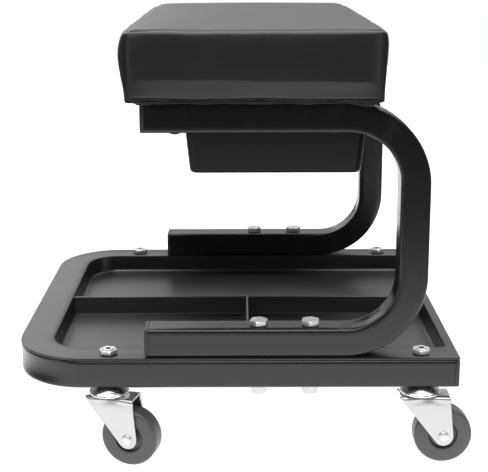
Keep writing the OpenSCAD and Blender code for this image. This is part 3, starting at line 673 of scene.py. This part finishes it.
def leg_edges(z):
    """Front and back edges of a leg at a height, along the fork."""
    def line(p, side):
        """The x at which the line from p that touches the foot's round passes this height."""
        v = (TRAIL - p[0], AXLE_Z - p[1])
        far = math.hypot(*v)
        b = math.asin(FOOT_R / far)
        a = math.atan2(v[1], v[0]) + side * (b + math.pi / 2)
        t = (TRAIL + FOOT_R * math.cos(a), AXLE_Z + FOOT_R * math.sin(a))
        if z >= t[1]:
            return p[0] + (t[0] - p[0]) * (p[1] - z) / (p[1] - t[1])
        return None
    half = math.sqrt(max(FOOT_R ** 2 - (z - AXLE_Z) ** 2, 0.0))
    front = line((-PLATE_R, PLATE_Z - 1.6), -1)
    back = line((PLATE_BACK, PLATE_Z), 1)
    return (TRAIL - half if front is None else front), (TRAIL + half if back is None else back)


def fork_shape():
    """Outer skin of the fork about its stem: rows run over the fork from one foot to the other."""
    section = []                                  # (y, z) along the skin, from the -Y foot
    levels = [AXLE_Z - FOOT_R * math.cos(math.radians(a)) for a in (4, 14, 28, 42, 58, 74, 90)]
    levels += [AXLE_Z + (PLATE_Z - FORK_BEND - AXLE_Z) * k / 12 for k in range(1, 13)]
    section += [(-FORK_OUT, z) for z in levels]
    for a in (18, 36, 54, 72, 90):
        a = math.radians(a)
        section.append((-FORK_OUT + FORK_BEND * (1 - math.cos(a)),
                        PLATE_Z - FORK_BEND + FORK_BEND * math.sin(a)))
    flat = FORK_OUT - FORK_BEND
    section += [(-flat + 2 * flat * k / 12, PLATE_Z) for k in range(1, 12)]
    section += [(-y, z) for y, z in reversed(section[:24])]
    columns = 30
    rows = []
    for y, z in section:
        row = []
        if z < PLATE_Z - 0.01:
            x0, x1 = leg_edges(z)
        else:
            x0, x1 = -math.sqrt(PLATE_R ** 2 - y ** 2), PLATE_BACK
        if z > PLATE_Z - FORK_BEND:               # the rolled corner eases from the leg to the plate
            share = (z - PLATE_Z + FORK_BEND) / FORK_BEND
            x0 += share * (1 - share) * 1.2
        for i in range(columns + 1):
            x = x0 + (x1 - x0) * i / columns
            lift = 0.0
            out = 0.0
            if z > PLATE_Z - 0.01:
                r = math.hypot(x, y)
                lift = RACE_LIFT * min(max((RACE_R1 - r) / 1.4, 0), 1)
                lift *= min(max((r - RACE_R0) / 1.2, 0), 1)
            else:
                wave = PLATE_Z - 5.2 + 1.0 * math.sin(x * 0.16 + 0.6)
                out = 0.75 * math.exp(-((z - wave - 1.2) / 1.5) ** 2)
            row.append((x, y - math.copysign(out, y) if out else y, z + lift))
        rows.append(row)
    n = columns + 1
    verts = [v for row in rows for v in row]
    faces = [(j * n + i, j * n + i + 1, (j + 1) * n + i + 1, (j + 1) * n + i)
             for j in range(len(rows) - 1) for i in range(columns)]
    return verts, faces


fork_skin = fork_shape()
for index, caster in enumerate(CASTER_NAMES):
    turn = Matrix.Translation((CASTER_X[index], CASTER_Y[index], 0)) @ Matrix.Rotation(
        math.radians(FORK_TURN[index]), 4, "Z")
    verts = [tuple(turn @ Vector(v)) for v in fork_skin[0]]
    fork = mesh_piece("fork_" + caster, (verts, fork_skin[1]), fork_zinc, "swivel_" + caster,
                      "fork_zinc", "caster_fork_" + caster, angle=60)
    upper = max(fork.data.polygons, key=lambda face: face.center.z)
    if upper.normal.z < 0:
        fork.data.flip_normals()
    sheet = fork.modifiers.new("sheet", "SOLIDIFY")
    sheet.thickness = FORK_T * MM
    sheet.offset = -1
    sheet.use_even_offset = True

# Axles, bushes and wheels.
# A round-headed axle is riveted through the fork's feet and holds a steel bush. The wheel is one
# dark grey moulding with a flat tread, rounded at its edges, and a deep recess round the hub.
wheel_grey, graph, shader = new_material("wheel_rubber", (0.066, 0.066, 0.067), 0.42)
grain = spots(graph, 0.6, 4.0)
dirt = spots(graph, 5, 6.0).step(0.55, 0.8)
feed(graph, shader, "Base Color", graph.mix(dirt * 0.5, (0.066, 0.066, 0.067, 1),
                                            (0.11, 0.11, 0.11, 1)))
feed(graph, shader, "Roughness", 0.36 + dirt * 0.14 + grain * 0.06)
bumped(graph, shader, grain, 0.04, 0.5)
AXLE_R = 3.0
half_wheel = [(4.81, 6.9), (6.9, 6.9), (7.4, 6.6), (7.6, 6.1), (7.9, 5.6), (11.6, 5.55), (12.1, 6.0),
              (12.35, 7.2), (12.7, 8.4), (13.2, 8.72), (14.0, 8.75), (22.3, 8.75), (22.9, 8.62),
              (23.5, 8.45), (24.2, 8.1), (24.8, 7.5), (25.2, 6.7), (25.35, 5.9), (25.4, 4.5),
              (25.4, 0)]
wheel_profile = half_wheel + [(r, -h) for r, h in reversed(half_wheel[:-1])]
AXLE_HEAD = [(0.02, 0), (4.75, 0), (4.72, 0.5), (4.4, 1.1), (3.7, 1.55), (2.6, 1.82), (1.3, 1.9),
             (0.02, 1.9)]
for index, caster in enumerate(CASTER_NAMES):
    a = math.radians(FORK_TURN[index])
    axle = (CASTER_X[index] + TRAIL * math.cos(a), CASTER_Y[index] + TRAIL * math.sin(a), AXLE_Z)
    turn = Matrix.Translation(axle) @ Matrix.Rotation(a, 4, "Z")

    def placed(shape):
        return [tuple(turn @ Vector(v)) for v in shape[0]], shape[1]

    mesh_piece("wheel_" + caster, placed(turned(wheel_profile, (0, 0, 0), "Y", 96)), wheel_grey,
               "wheel_" + caster, "wheel_rubber", "caster_wheel_" + caster, angle=35)
    heads = [turned([(r, s * (11.82 + h)) for r, h in AXLE_HEAD], (0, 0, 0), "Y", 40)
             for s in (-1, 1)]
    pin = turned([(0.02, -FORK_OUT), (AXLE_R, -FORK_OUT), (AXLE_R, FORK_OUT), (0.02, FORK_OUT)],
                 (0, 0, 0), "Y", 32)
    mesh_piece("axle_" + caster, placed(joined([pin, *heads])), zinc_plate, "swivel_" + caster,
               "zinc_plate", "caster_axle_" + caster, angle=40)
    dressed("caster_bush_" + caster, ball_steel)

# Seat frames.
# Two C-shaped tubes of the same section stand on the tray's flange, over the rails, and carry the
# seat. Their bends were made cold too, so the inner wall is pinched and shows faint ripples.
frame_low, frame_high = (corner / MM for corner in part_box("seat_frame_front"))
C_CORNER = 70.0
C_BEND = C_CORNER - TUBE / 2
C_Y = -(frame_low.y + frame_high.y) / 2
c_x0 = frame_low.x
c_x1 = frame_high.x - TUBE / 2
c_z0 = frame_low.z + TUBE / 2
c_z1 = frame_high.z - TUBE / 2
for side, label in ((-1, "front"), (1, "rear")):
    bent_tube("seat_tube_" + label, [(c_x0, side * C_Y, c_z0), (c_x1, side * C_Y, c_z0),
                                     (c_x1, side * C_Y, c_z1), (c_x0, side * C_Y, c_z1)],
              C_BEND, (0, 1, 0), (1.2, 2.0, 0.12), "seat_frame_" + label)
mesh_piece("seat_tube_caps",
           joined([cap(c_x0, s * C_Y, z, -1) for s in (-1, 1) for z in (c_z0, c_z1)]),
           cap_plastic, "chassis", "cap_plastic", "seat_frame_end_caps")

# Frame bolts and lock nuts.
# Two hex bolts go down through each C tube, the flange and the rail, into lock nuts with a nylon
# ring. All are zinc-plated.
BOLT_X = (14.2, 58.9)
BOLT_R, HEAD_H, LOCK_NUT_H = 4.75, 4.9, 6.6
bolt_axes = [(x, side * C_Y) for side in (-1, 1) for x in BOLT_X]
C_FOOT_TOP = c_z0 + TUBE / 2
shank_top = C_FOOT_TOP - RAIL_Z + 10.4
shank = [(0.02, 0), (4.1, 0), (BOLT_R, 0.7), (BOLT_R, shank_top), (0.02, shank_top)]
mesh_piece("hex_bolts", joined(
    [hex_block(spot, C_FOOT_TOP, HEAD_H, HEX_FLATS, turn)
     for spot, turn in zip(bolt_axes, (14.2, 22, 40, 5))]
    + [turned(shank, (*spot, RAIL_Z - 9.4), steps=40) for spot in bolt_axes]),
    zinc_plate, "chassis", "zinc_plate", "frame_bolts", angle=22)
ring = [(NUT_BORE, -8.0), (5.1, -8.4), (6.3, -8.4), (6.65, -8.05), (6.65, -6.0), (NUT_BORE, -6.0)]
mesh_piece("lock_nuts", joined(
    [hex_block(spot, RAIL_Z, LOCK_NUT_H, HEX_FLATS, turn, NUT_BORE, -1)
     for spot, turn in zip(bolt_axes, (30, 24, 11, 48))]
    + [turned(ring, (*spot, RAIL_Z), steps=40) for spot in bolt_axes]),
    zinc_plate, "chassis", "zinc_plate", "frame_lock_nuts", angle=22)

# Seat board.
# Birch plywood, nine plies, bolted to the C tubes. The cover is folded and stapled under it.
PLY_PAIRS, BOARD_THICK = 4.5, 0.012
plywood, graph, shader = new_material("plywood", (0.62, 0.46, 0.28), 0.6)
plies = (where_on(graph)["Z"] * (2 * math.pi * PLY_PAIRS / BOARD_THICK)).sine()
figure = spots(graph, 14, 6.0, (1, 0.12, 4))
wood = graph.mix(figure, (0.52, 0.36, 0.20, 1), (0.72, 0.56, 0.36, 1))
side_on = abs(graph.add("ShaderNodeSeparateXYZ", sockets={
    0: graph.add("ShaderNodeNewGeometry", out="True Normal")})["Z"]).step(0.7, 0.2)
wood = graph.mix(side_on * plies.step(-0.2, 0.4) * 0.7, wood, (0.30, 0.18, 0.09, 1))
feed(graph, shader, "Base Color", wood)
feed(graph, shader, "Roughness", 0.55 + figure * 0.2)
bumped(graph, shader, figure, 0.15, 0.5)
dressed("seat_board", plywood)

# Seat cushion.
# Black grained vinyl over foam: a top panel and four side panels, sewn together at the corners and
# along the top edge, where a crease runs inside a soft ridge. The cover goes round the board's edge
# and is folded under it. The panels are blown out by the foam in a cloth simulation.
cover_low, cover_high = (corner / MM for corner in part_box("seat_cover"))
SEAT_X = (cover_low.x + cover_high.x) / 2
HALF_X, HALF_Y = 109.2, 186.0
COVER_Z = cover_low.z
SEAM_X, SEAM_Y = 103.0, 183.6
BOARD_Z0, BOARD_Z1 = 321.1, 333.1
BOARD_HX, BOARD_HY = HALF_X - 4.0, HALF_Y - 4.0

vinyl, graph, shader = new_material("vinyl", (0.014, 0.014, 0.0145), 0.4, IOR=1.5)
cells = graph.add("ShaderNodeTexVoronoi", {"feature": "DISTANCE_TO_EDGE"}, {
    "Vector": graph.add("ShaderNodeTexCoord", out="Object"), "Scale": 1 / (1.1 * MM)}, "Distance")
creases = cells.step(0.0, 0.16)
fine = spots(graph, 0.5, 3.0)
shine = spots(graph, 30, 5.0, (1, 0.4, 1))
where = where_on(graph)
height = where["Z"]
# Painted shade: a near-black band on the end panels, just past the corner seams near the long faces,
# stands in for the shade in the crevice beside each seam.
past_seam = abs(where["X"] - SEAT_X * MM) - SEAM_X * MM - (height - COVER_Z * MM) * 0.014
seam_shade = past_seam.step(0.0002, 0.0005) * past_seam.step(0.0034, 0.0024)
seam_shade = seam_shade * abs(where["Y"]).step(0.175, 0.178) * height.step(0.377, 0.374) * height.step(0.327, 0.333)
# Painted shadow: a near-black band round the foot of the cushion, about 319 to 324 mm up, stands in for
# the shadow in the gap where the cover folds in under the board.
fold_shade = height.step(0.3245, 0.3239) * height.step(0.3187, 0.3193)
wrinkle = spots(graph, 9, 2.0, (1, 1, 6)).step(0.45, 0.6)
color = graph.mix(shine, (0.011, 0.011, 0.0115, 1), (0.018, 0.018, 0.0185, 1))
feed(graph, shader, "Base Color", graph.mix(fold_shade.top(seam_shade), color, (0.001, 0.001, 0.001, 1)))
feed(graph, shader, "Roughness",
     0.33 + shine * 0.1 + (1 - creases) * 0.08 + fold_shade * wrinkle * 0.4 + seam_shade * 0.5)
bumped(graph, shader, creases * 0.7 + fine * 0.3, 0.05, 0.35)


def lattice(half, cell):
    """Places from -half to half, close together at the seams and about a cell apart between them."""
    ends = [0.0, 0.6, 1.6, 3.6, 6.8]
    inner = half - 10.5
    count = round(2 * inner / cell)
    return ([-half + e for e in ends] + [-inner + 2 * inner * k / count for k in range(count + 1)]
            + [half - e for e in reversed(ends)])


XS = lattice(SEAM_X, 4.8)
YS = lattice(SEAM_Y, 4.8)

# Heights, and how far the panels stand out of the seams there: the long ones and those at the ends
LONG_OUT = [(321.0, -1.1), (322.1, -1.0), (322.4, -0.9), (323.0, -0.5), (323.3, -1.0),
            (324.0, -1.05), (324.4, 1.8), (324.8, 2.7), (325.2, 2.95), (339.4, 7.1), (340.4, 7.2),
            (352, 7.1), (366, 6.5), (372, 5.7), (375.5, 5.2), (377, 4.7), (378.1, 3.9), (378.5, 3.2)]
LEFT_OUT = [(321, 2.8), (325, 3.0), (333, 3.6), (341, 5.2), (350, 6.4), (357, 6.8), (364, 6.6),
            (370, 5.6), (374, 4.4), (377, 2.8), (378.5, 1.0)]
RIGHT_OUT = [(321, 2.8), (333, 2.9), (341, 3.4), (352, 4.1), (362, 4.5), (370, 4.5), (374.5, 4.1),
             (377, 3.0), (378.5, 1.0)]


def between(z, knots):
    """The value at a height, on straight lines between knots of height and value."""
    for (low, first), (high, second) in zip(knots, knots[1:]):
        if z < high:
            return first + (second - first) * max(z - low, 0) / (high - low)
    return knots[-1][1]


def on_seams(x, y, z, inset, share):
    """A lattice place in plan. Places on the border stand out between the seams, by a share."""
    px = x * (SEAM_X * (1 + 0.008 * (z - COVER_Z) / 59) - inset) / SEAM_X
    py = y * (SEAM_Y - inset) / SEAM_Y
    if abs(x) == SEAM_X:
        stands = between(z, LEFT_OUT if x < 0 else RIGHT_OUT)
        near = 1 - math.exp(-(SEAM_Y - abs(y)) / 1.7)
        px += math.copysign(share * stands * (near + 0.25 * (1 - abs(y / SEAM_Y) ** 3)), x)
    if abs(y) == SEAM_Y:
        stands = between(z, LONG_OUT)
        if stands > 0:
            near = 1 - math.exp(-(SEAM_X - abs(x)) / 0.7)
            stands *= 0.2 * near + 0.8 * (1 - abs(x / SEAM_X) ** (6 if x < 0 else 11))
        py += math.copysign(share * stands, y)
    return px, py


def on_board(x, y):
    """A lattice place in plan, on or inside an outline that is 0.25 outside the board's."""
    hx, hy, r = BOARD_HX + 0.25, BOARD_HY + 0.25, 5.25
    px, py = x * hx / SEAM_X, y * hy / SEAM_Y
    way = Vector((abs(px) - hx + r, abs(py) - hy + r))
    if min(way) > 0:
        way = way.normalized() * max(way)
        px, py = math.copysign(hx - r + way.x, px), math.copysign(hy - r + way.y, py)
    return px, py


LAST_X, LAST_Y = len(XS) - 1, len(YS) - 1
border = ([(i, 0) for i in range(LAST_X)] + [(LAST_X, j) for j in range(LAST_Y)]
          + [(i, LAST_Y) for i in range(LAST_X, 0, -1)] + [(0, j) for j in range(LAST_Y, 0, -1)])
verts, faces = [], []


def add_ring(z, inset=None, share=0.0):
    """Adds one row round the cushion, or round the board if no inset is given."""
    row = {}
    for i, j in border:
        px, py = on_board(XS[i], YS[j]) if inset is None else on_seams(XS[i], YS[j], z, inset, share)
        row[i, j] = len(verts)
        verts.append((SEAT_X + px, py, z))
    return row


def add_sheet(rim, z, inset=None, dome=0.0):
    """Adds the inner places of a sheet inside a row."""
    place = dict(rim)
    for i in range(1, LAST_X):
        for j in range(1, LAST_Y):
            px, py = on_board(XS[i], YS[j]) if inset is None else on_seams(XS[i], YS[j], z, inset, 0)
            rise = dome * ((1 - (XS[i] / SEAM_X) ** 2) * (1 - (YS[j] / SEAM_Y) ** 2)) ** 0.6
            place[i, j] = len(verts)
            verts.append((SEAT_X + px, py, z + rise))
    return place


def skin(a, b):
    """Faces between two rows."""
    for k, spot in enumerate(border):
        after = border[(k + 1) % len(border)]
        faces.append((a[spot], a[after], b[after], b[spot]))


def fill(sheet, up):
    """Faces of a sheet, turned up or down."""
    for i in range(LAST_X):
        for j in range(LAST_Y):
            face = (sheet[i, j], sheet[i + 1, j], sheet[i + 1, j + 1], sheet[i, j + 1])
            faces.append(face if up else face[::-1])


# Rows of height, inset and share: the pocket for the board, the fold and its loose hem, the part
# that is drawn tight round the board, the side, and the ridge and crease of the top seam
pocket = add_ring(BOARD_Z1 + 0.25)
fill(add_sheet(pocket, BOARD_Z1 + 0.25), False)
rows = [pocket, add_ring(BOARD_Z0 - 0.1), add_ring(BOARD_Z0 - 0.25, 17)]
fold_rows = [(COVER_Z + 0.1, 14.0, 0), (COVER_Z + 0.05, 11.0, 0), (COVER_Z - 0.6, 9.4, 0),
             (COVER_Z - 1.1, 8.2, 0), (COVER_Z - 0.9, 7.0, 0), (COVER_Z, 6.0, 0.0),
             (COVER_Z + 0.7, 4.8, 0.0), (COVER_Z + 0.9, 3.2, 0.1), (COVER_Z + 0.95, 1.9, 0.3),
             (COVER_Z + 1.05, 0.9, 0.6), (COVER_Z + 1.2, 0.2, 0.85)]
SIDE_Z, SIDE_RISE, SIDE_ROWS = 341.1, 31.5, 8
tight_rows = [321.0, 322.1, 322.4, 323.0, 323.3, 324.0, 324.2, 324.4, 324.8, 325.4, 328, 332, 337,
              339.2, 339.9, SIDE_Z]
top_rows = [(375.6, 0, 1), (376.8, 0.05, 1), (377.6, 0.3, 1), (378.2, 0.8, 1), (378.5, 1.4, 1),
            (378.2, 2.0, 1), (377.2, 2.4, 0.9), (376.6, 2.8, 0.8), (377.0, 3.1, 0.8), (378.9, 3.5, 0.7),
            (380.2, 4.6, 0.6), (380.7, 6.6, 0.5)]
inset_of, creased = {}, set()
for z, inset, share in fold_rows:
    rows.append(add_ring(z, inset, share))
    inset_of.update(dict.fromkeys(rows[-1].values(), inset))
tight_from = len(verts)
rows += [add_ring(z, 0, 1) for z in tight_rows]
free_from = len(verts)
rows += [add_ring(SIDE_Z + SIDE_RISE * k / SIDE_ROWS, 0, 1) for k in range(1, SIDE_ROWS + 1)]
rows += [add_ring(*row) for row in top_rows]
for row in rows[-6:-3]:
    creased |= set(row.values())
for lower, upper in zip(rows, rows[1:]):
    skin(lower, upper)
fill(add_sheet(rows[-1], 381.1, 7.9, 2.6), True)
corners = [(i, j) for i in (0, LAST_X) for j in (0, LAST_Y)]
pinned = set(range(free_from))
for row in rows[-10:]:
    pinned |= set(row.values())
for row in rows:
    pinned |= {row[c] for c in corners}

cushion_mesh = bpy.data.meshes.new("cushion")
cushion_mesh.from_pydata([tuple(c * MM for c in v) for v in verts], [], faces)
cushion_mesh.materials.append(vinyl)
cushion = put("cushion", cushion_mesh)
start = [v.co.copy() for v in cushion_mesh.vertices]
FRAMES, SWELL = 20, 2.8
held = cushion.vertex_groups.new(name="held")
held.add(sorted(pinned), 1.0, "REPLACE")
cloth = cushion.modifiers.new("cloth", "CLOTH")
cloth.settings.quality = 6
cloth.settings.mass = 0.4
cloth.settings.tension_stiffness = 18
cloth.settings.compression_stiffness = 18
cloth.settings.shear_stiffness = 8
cloth.settings.bending_stiffness = 1.2
cloth.settings.use_pressure = True
cloth.settings.uniform_pressure_force = 4
cloth.settings.vertex_group_mass = "held"
cloth.settings.effector_weights.gravity = 0
cloth.collision_settings.use_collision = False
cloth.point_cache.frame_start = 1
cloth.point_cache.frame_end = FRAMES
for step in range(1, FRAMES + 1):
    bpy.context.scene.frame_set(step)
settled = cushion.evaluated_get(bpy.context.evaluated_depsgraph_get())
ended = [v.co.copy() for v in settled.data.vertices]
cushion.modifiers.clear()
cushion.vertex_groups.clear()
most = max((after - before).length for before, after in zip(start, ended))
for vertex, before, after in zip(cushion_mesh.vertices, start, ended):
    vertex.co = before + (after - before) * min(SWELL * MM / most, 1)
bpy.context.scene.frame_set(1)

# The seams' puckers, the sunk corners, the waves of the top ridge and of the lower edge, and the
# ragged hem, which is bunched at the corners: drawn in after the simulation. The amounts at the
# corners stand in the order left near, left far, right near, right far.
SUNK = (0.3, 1.0, 0.1, 0.4)
ROUNDED = (1.0, 0.4, 0.15, 0.3)
BUNCHED = (0.25, 0.6, 1.0, 0.5)
PUCKER, SINKS, DRAWS_IN, ROUNDS = 0.4, 3.4, 1.8, 2.4
RIDGE_WAVE, CREASE_LIFT, EDGE_WAVE, BAND_WAVE = 0.45, 1.7, 1.2, 2.2
for vertex in cushion_mesh.vertices:
    x, y, z = (c / MM for c in vertex.co)
    x -= SEAT_X
    out = Vector((x / HALF_X, y / HALF_Y, 0))
    to_seam = math.hypot(abs(x) - SEAM_X, abs(y) - SEAM_Y)
    which = (x > 0) * 2 + (y > 0)
    if vertex.index >= free_from and z < 377:
        pucker = PUCKER * math.exp(-to_seam / 8) * (1 - math.exp(-to_seam / 1.5))
        pucker *= min((z - 341) / 8, 1)
        vertex.co += out * (pucker * math.sin(z * 0.8 + 3 * math.sin(z * 0.27 + x * 0.02)) * MM)
    if vertex.index >= free_from and z > 362 and abs(y) > SEAM_Y - 10:
        shy = ROUNDED[which] * ROUNDS * math.exp(-((abs(x) - SEAM_X) / 15) ** 2)
        vertex.co.y -= math.copysign(shy * min((z - 362) / 15, 1) ** 2 * MM, y)
    if z > 366:
        sunk = SUNK[which] * math.exp(-(to_seam / 12) ** 2) * min((z - 366) / 8, 1)
        vertex.co.z -= SINKS * sunk * MM
        vertex.co -= out * (DRAWS_IN * sunk * MM)
    if z > 374 and max(abs(x) - (SEAM_X - 12), abs(y) - (SEAM_Y - 12)) > 0:
        wave = noise.noise(Vector((x * 0.035, y * 0.035, 3.1))) + 0.5 * noise.noise(
            Vector((x * 0.11, y * 0.11, 5.7)))
        vertex.co.z += RIDGE_WAVE * wave * MM
    if vertex.index in creased and abs(x) > SEAM_X - 5:
        vertex.co.z += CREASE_LIFT * (1 - math.exp(-to_seam / 10)) * MM
    if tight_from <= vertex.index < free_from and z < 326.5:
        wave = EDGE_WAVE * noise.noise(Vector((x * 0.022, y * 0.022, 6.6)))
        if 322 < z < 323.4:
            wave += 0.5 * noise.noise(Vector((x * 0.09, y * 0.09, 8.1)))
        vertex.co.z += wave * min((z - 320.9) / 1.5, 1) * MM
    if tight_from <= vertex.index < free_from and z > 336:
        vertex.co.z += BAND_WAVE * noise.noise(Vector((x * 0.025, y * 0.025, 2.6))) * MM
    inset = inset_of.get(vertex.index, 0)
    if 5.5 < inset < 10:
        ragged = (noise.noise(Vector((x * 0.05, y * 0.05, 4.4))) * 0.9
                  + noise.noise(Vector((x * 0.16, y * 0.16, 1.3))) * 0.7)
        vertex.co.z += min(max(ragged, -0.5), 0.8) * MM
        vertex.co += out * (noise.noise(Vector((x * 0.12, y * 0.12, 7.9))) * 0.5 * MM)
    if 1 < inset < 9.8 and abs(y) > BOARD_HY - 8.6:
        bunch = BUNCHED[which] * math.exp(-((abs(x) - SEAM_X + 10) / 8) ** 2)
        bunch *= math.sin(math.pi * (inset - 0.9) / 9) ** 0.7
        vertex.co.z -= bunch * (2.6 + 1.4 * noise.noise(Vector((x * 0.3, y * 0.3, 2.2)))) * MM
sewn = cushion_mesh.attributes.new("crease_edge", "FLOAT", "EDGE")
columns = [{row[c] for row in rows} for c in corners]
for edge in cushion_mesh.edges:
    if any(edge.vertices[0] in column and edge.vertices[1] in column for column in columns):
        sewn.data[edge.index].value = 0.9
outward(cushion_mesh)
smooth(cushion_mesh, 55)
finer = cushion.modifiers.new("finer", "SUBSURF")
finer.levels = 1
finer.render_levels = 1
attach(cushion, "chassis")
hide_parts("seat_cover", "seat_foam")

# Staples, tee nuts and seat bolts.
# Wire staples hold the cover's fold to the board. Low-headed bolts come up through the C tubes into
# tee nuts that are driven into the top of the board.
STAPLE_L, STAPLE_W, STAPLE_T = 10.0, 1.2, 0.6
STAPLES_LONG, STAPLES_END, STAPLE_REACH = 6, 9, 134.8
staple_places = []
for s in (-1, 1):
    for k in range(STAPLES_LONG):
        staple_places.append((SEAT_X - BOARD_HX + 2 * BOARD_HX * (k + 0.5) / STAPLES_LONG,
                              s * (BASE_HALF + STAPLE_W + 0.3), 0.0))
    for k in range(STAPLES_END):
        staple_places.append((SEAT_X + s * (BOARD_HX - 6),
                              STAPLE_REACH * (2 * k / (STAPLES_END - 1) - 1), math.pi / 2))
staple_tree = bpy.data.node_groups.new("staples", "GeometryNodeTree")
staple_tree.interface.new_socket("Geometry", in_out="INPUT", socket_type="NodeSocketGeometry")
staple_inputs = {}
for label in ("Length", "Wire", "Loose turn"):
    staple_inputs[label] = staple_tree.interface.new_socket(
        label, in_out="INPUT", socket_type="NodeSocketFloat").identifier
staple_tree.interface.new_socket("Geometry", in_out="OUTPUT", socket_type="NodeSocketGeometry")
g = Graph(staple_tree)
given = g.add("NodeGroupInput")
half_length = g.add("ShaderNodeCombineXYZ", sockets={"X": given["Length"] * 0.5})
other_half = g.add("ShaderNodeCombineXYZ", sockets={"X": given["Length"] * -0.5})
crown = g.add("GeometryNodeCurvePrimitiveLine", sockets={"Start": half_length, "End": other_half})
crown = g.add("GeometryNodeResampleCurve", sockets={"Curve": crown, "Count": 7})
share = g.add("GeometryNodeSplineParameter", out="Factor")
droop = abs(share * 2 - 1) ** 6 * (given["Wire"] * 0.9)
crown = g.add("GeometryNodeSetPosition", sockets={
    "Geometry": crown, "Offset": g.add("ShaderNodeCombineXYZ", sockets={"Z": droop})})
wire = g.add("GeometryNodeCurvePrimitiveCircle", sockets={
    "Resolution": 8, "Radius": given["Wire"] * 0.5})
crown = g.add("GeometryNodeCurveToMesh", sockets={
    "Curve": crown, "Profile Curve": wire, "Fill Caps": True})
facing = g.add("GeometryNodeInputNamedAttribute", {"data_type": "FLOAT"}, {"Name": "turn"}, 0)
loose = g.add("FunctionNodeRandomValue", {"data_type": "FLOAT"},
              {2: given["Loose turn"] * -1, 3: given["Loose turn"], "Seed": 4}, 1)
spun = g.add("ShaderNodeCombineXYZ", sockets={"Z": facing + loose})
points = g.add("GeometryNodeInstanceOnPoints", sockets={
    "Points": g.add("GeometryNodeMeshToPoints", sockets={"Mesh": given}), "Instance": crown,
    "Rotation": spun})
points = g.add("GeometryNodeRealizeInstances", sockets={"Geometry": points})
points = g.add("GeometryNodeSetMaterial", sockets={"Geometry": points, "Material": zinc_plate})
g.add("NodeGroupOutput", sockets={0: points})
staple_mesh = bpy.data.meshes.new("staple_places")
staple_mesh.from_pydata([(x * MM, y * MM, (COVER_Z - STAPLE_T * 0.5) * MM)
                         for x, y, _ in staple_places], [], [])
turns = staple_mesh.attributes.new("turn", "FLOAT", "POINT")
turns.data.foreach_set("value", [turn for _, _, turn in staple_places])
staples = grown("staples", put("staple_places", staple_mesh), staple_tree, staple_inputs,
                {"Length": STAPLE_L * MM, "Wire": STAPLE_W * 0.6 * MM, "Loose turn": 0.12},
                "chassis")
smooth(staples.data, 50)
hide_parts("cover_staples")
dressed("seat_tee_nuts", zinc_plate)
# The seat bolts' plating is coloured near black, far darker than the zinc on the other hardware, so
# their heads under the C tubes read dark.
near_black_plating = plated("near_black_plating", (0.06, 0.06, 0.062), 0.35)
softened("seat_bolts", near_black_plating, "chassis", 0.3)

# Drawer rails.
# Folded steel channels, painted like the tubes and screwed to the board. Their lips carry the
# drawer's flange.
for label in ("front", "rear"):
    softened("drawer_rail_" + label, frame_paint, "chassis", 0.35)
softened("drawer_rail_screws", zinc_plate, "chassis", 0.25)

# Drawer.
# A black moulding with a tapered tub, rounded along its floor, and a flange that slides on the
# rails' lips. At the open end the flange runs out into a ledge with a turned-down pull lip.
drawer_plastic, graph, shader = new_material("drawer_plastic", (0.006, 0.006, 0.0065), 0.3,
                                             Specular_IOR_Level=0.18)
grain = spots(graph, 0.4, 3.0)
cloud = spots(graph, 45, 4.0)
feed(graph, shader, "Base Color",
     graph.mix(cloud, (0.004, 0.004, 0.0043, 1), (0.007, 0.007, 0.0073, 1)))
feed(graph, shader, "Roughness", 0.24 + cloud * 0.08 + grain * 0.08)
bumped(graph, shader, grain, 0.04, 0.5)
drawer_low, drawer_high = (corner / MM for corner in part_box("drawer"))
D_TOP = drawer_high.z
D_WALL = 2.0
LIP_HALF, LIP_DROP = 65, 15.0
TUB_X0, TUB_X1, TUB_HALF, TUB_CORNER = -51.3, 109.7, 134.3, 7.0
TUB_DEPTH, TUB_DRAFT = 64.0, 6.0
LEDGE_X, LEDGE_HALF = drawer_low.x + 5.0, drawer_high.y


def flange_row(inset, z):
    """Row round the flange's edge."""
    return [(x, y, z) for x, y in rounded(LEDGE_X + inset, drawer_high.x - inset, LEDGE_HALF - inset,
                                          6 - inset, 6 - inset, 8)]


def tub_row(inset, z):
    """Row round the tub, which narrows downwards."""
    d = inset + TUB_DRAFT * (D_TOP - z) / TUB_DEPTH
    r = max(TUB_CORNER - inset * 0.8, 3)
    return [(x, y, z) for x, y in rounded(TUB_X0 + d, TUB_X1 - 0.1 - d, TUB_HALF - d, r, r, 8)]


under = D_TOP - TUB_DEPTH
rows = [tub_row(14, under), tub_row(4.2, under), tub_row(2.4, under + 0.35),
        tub_row(1.0, under + 1.1), tub_row(0.25, under + 2.4), tub_row(0, under + 4.0),
        tub_row(0, D_TOP - 14), tub_row(0, D_TOP - D_WALL), flange_row(0.5, D_TOP - D_WALL),
        flange_row(0, D_TOP - D_WALL + 0.5), flange_row(0, D_TOP - 0.6), flange_row(0.6, D_TOP),
        tub_row(1.5, D_TOP), tub_row(1.9, D_TOP - 0.3), tub_row(2.1, D_TOP - 1.2),
        tub_row(D_WALL, under + 9.0), tub_row(D_WALL + 0.55, under + 6.3),
        tub_row(D_WALL + 2.0, under + 3.9), tub_row(D_WALL + 4.3, under + 2.5),
        tub_row(D_WALL + 7, under + 2.0), tub_row(20, under + 2.0)]
lip_profile = [(0.4, -0.6), (2.6, -0.6), (2.2, -2.6), (1.0, -5.0), (-3.0, -14.6), (-3.5, -15.0),
               (-4.4, -15.0), (-5.0, -14.5), (-4.6, -13.2), (-1.0, -4.4), (0.0, -2.2)]
lip_rows = []
for y, inset in ((-LIP_HALF, 1.2), (-LIP_HALF + 0.4, 0.4), (-LIP_HALF + 1.4, 0.0), (0, 0.0),
                 (LIP_HALF - 1.4, 0.0), (LIP_HALF - 0.4, 0.4), (LIP_HALF, 1.2)):
    lip_rows.append([(LEDGE_X + a, y, D_TOP + b + inset * (-b / LIP_DROP)) for a, b in lip_profile])
mesh_piece("drawer_moulding", joined([loft(rows), loft(lip_rows)]), drawer_plastic, "drawer",
           "drawer_plastic", "drawer", angle=38)
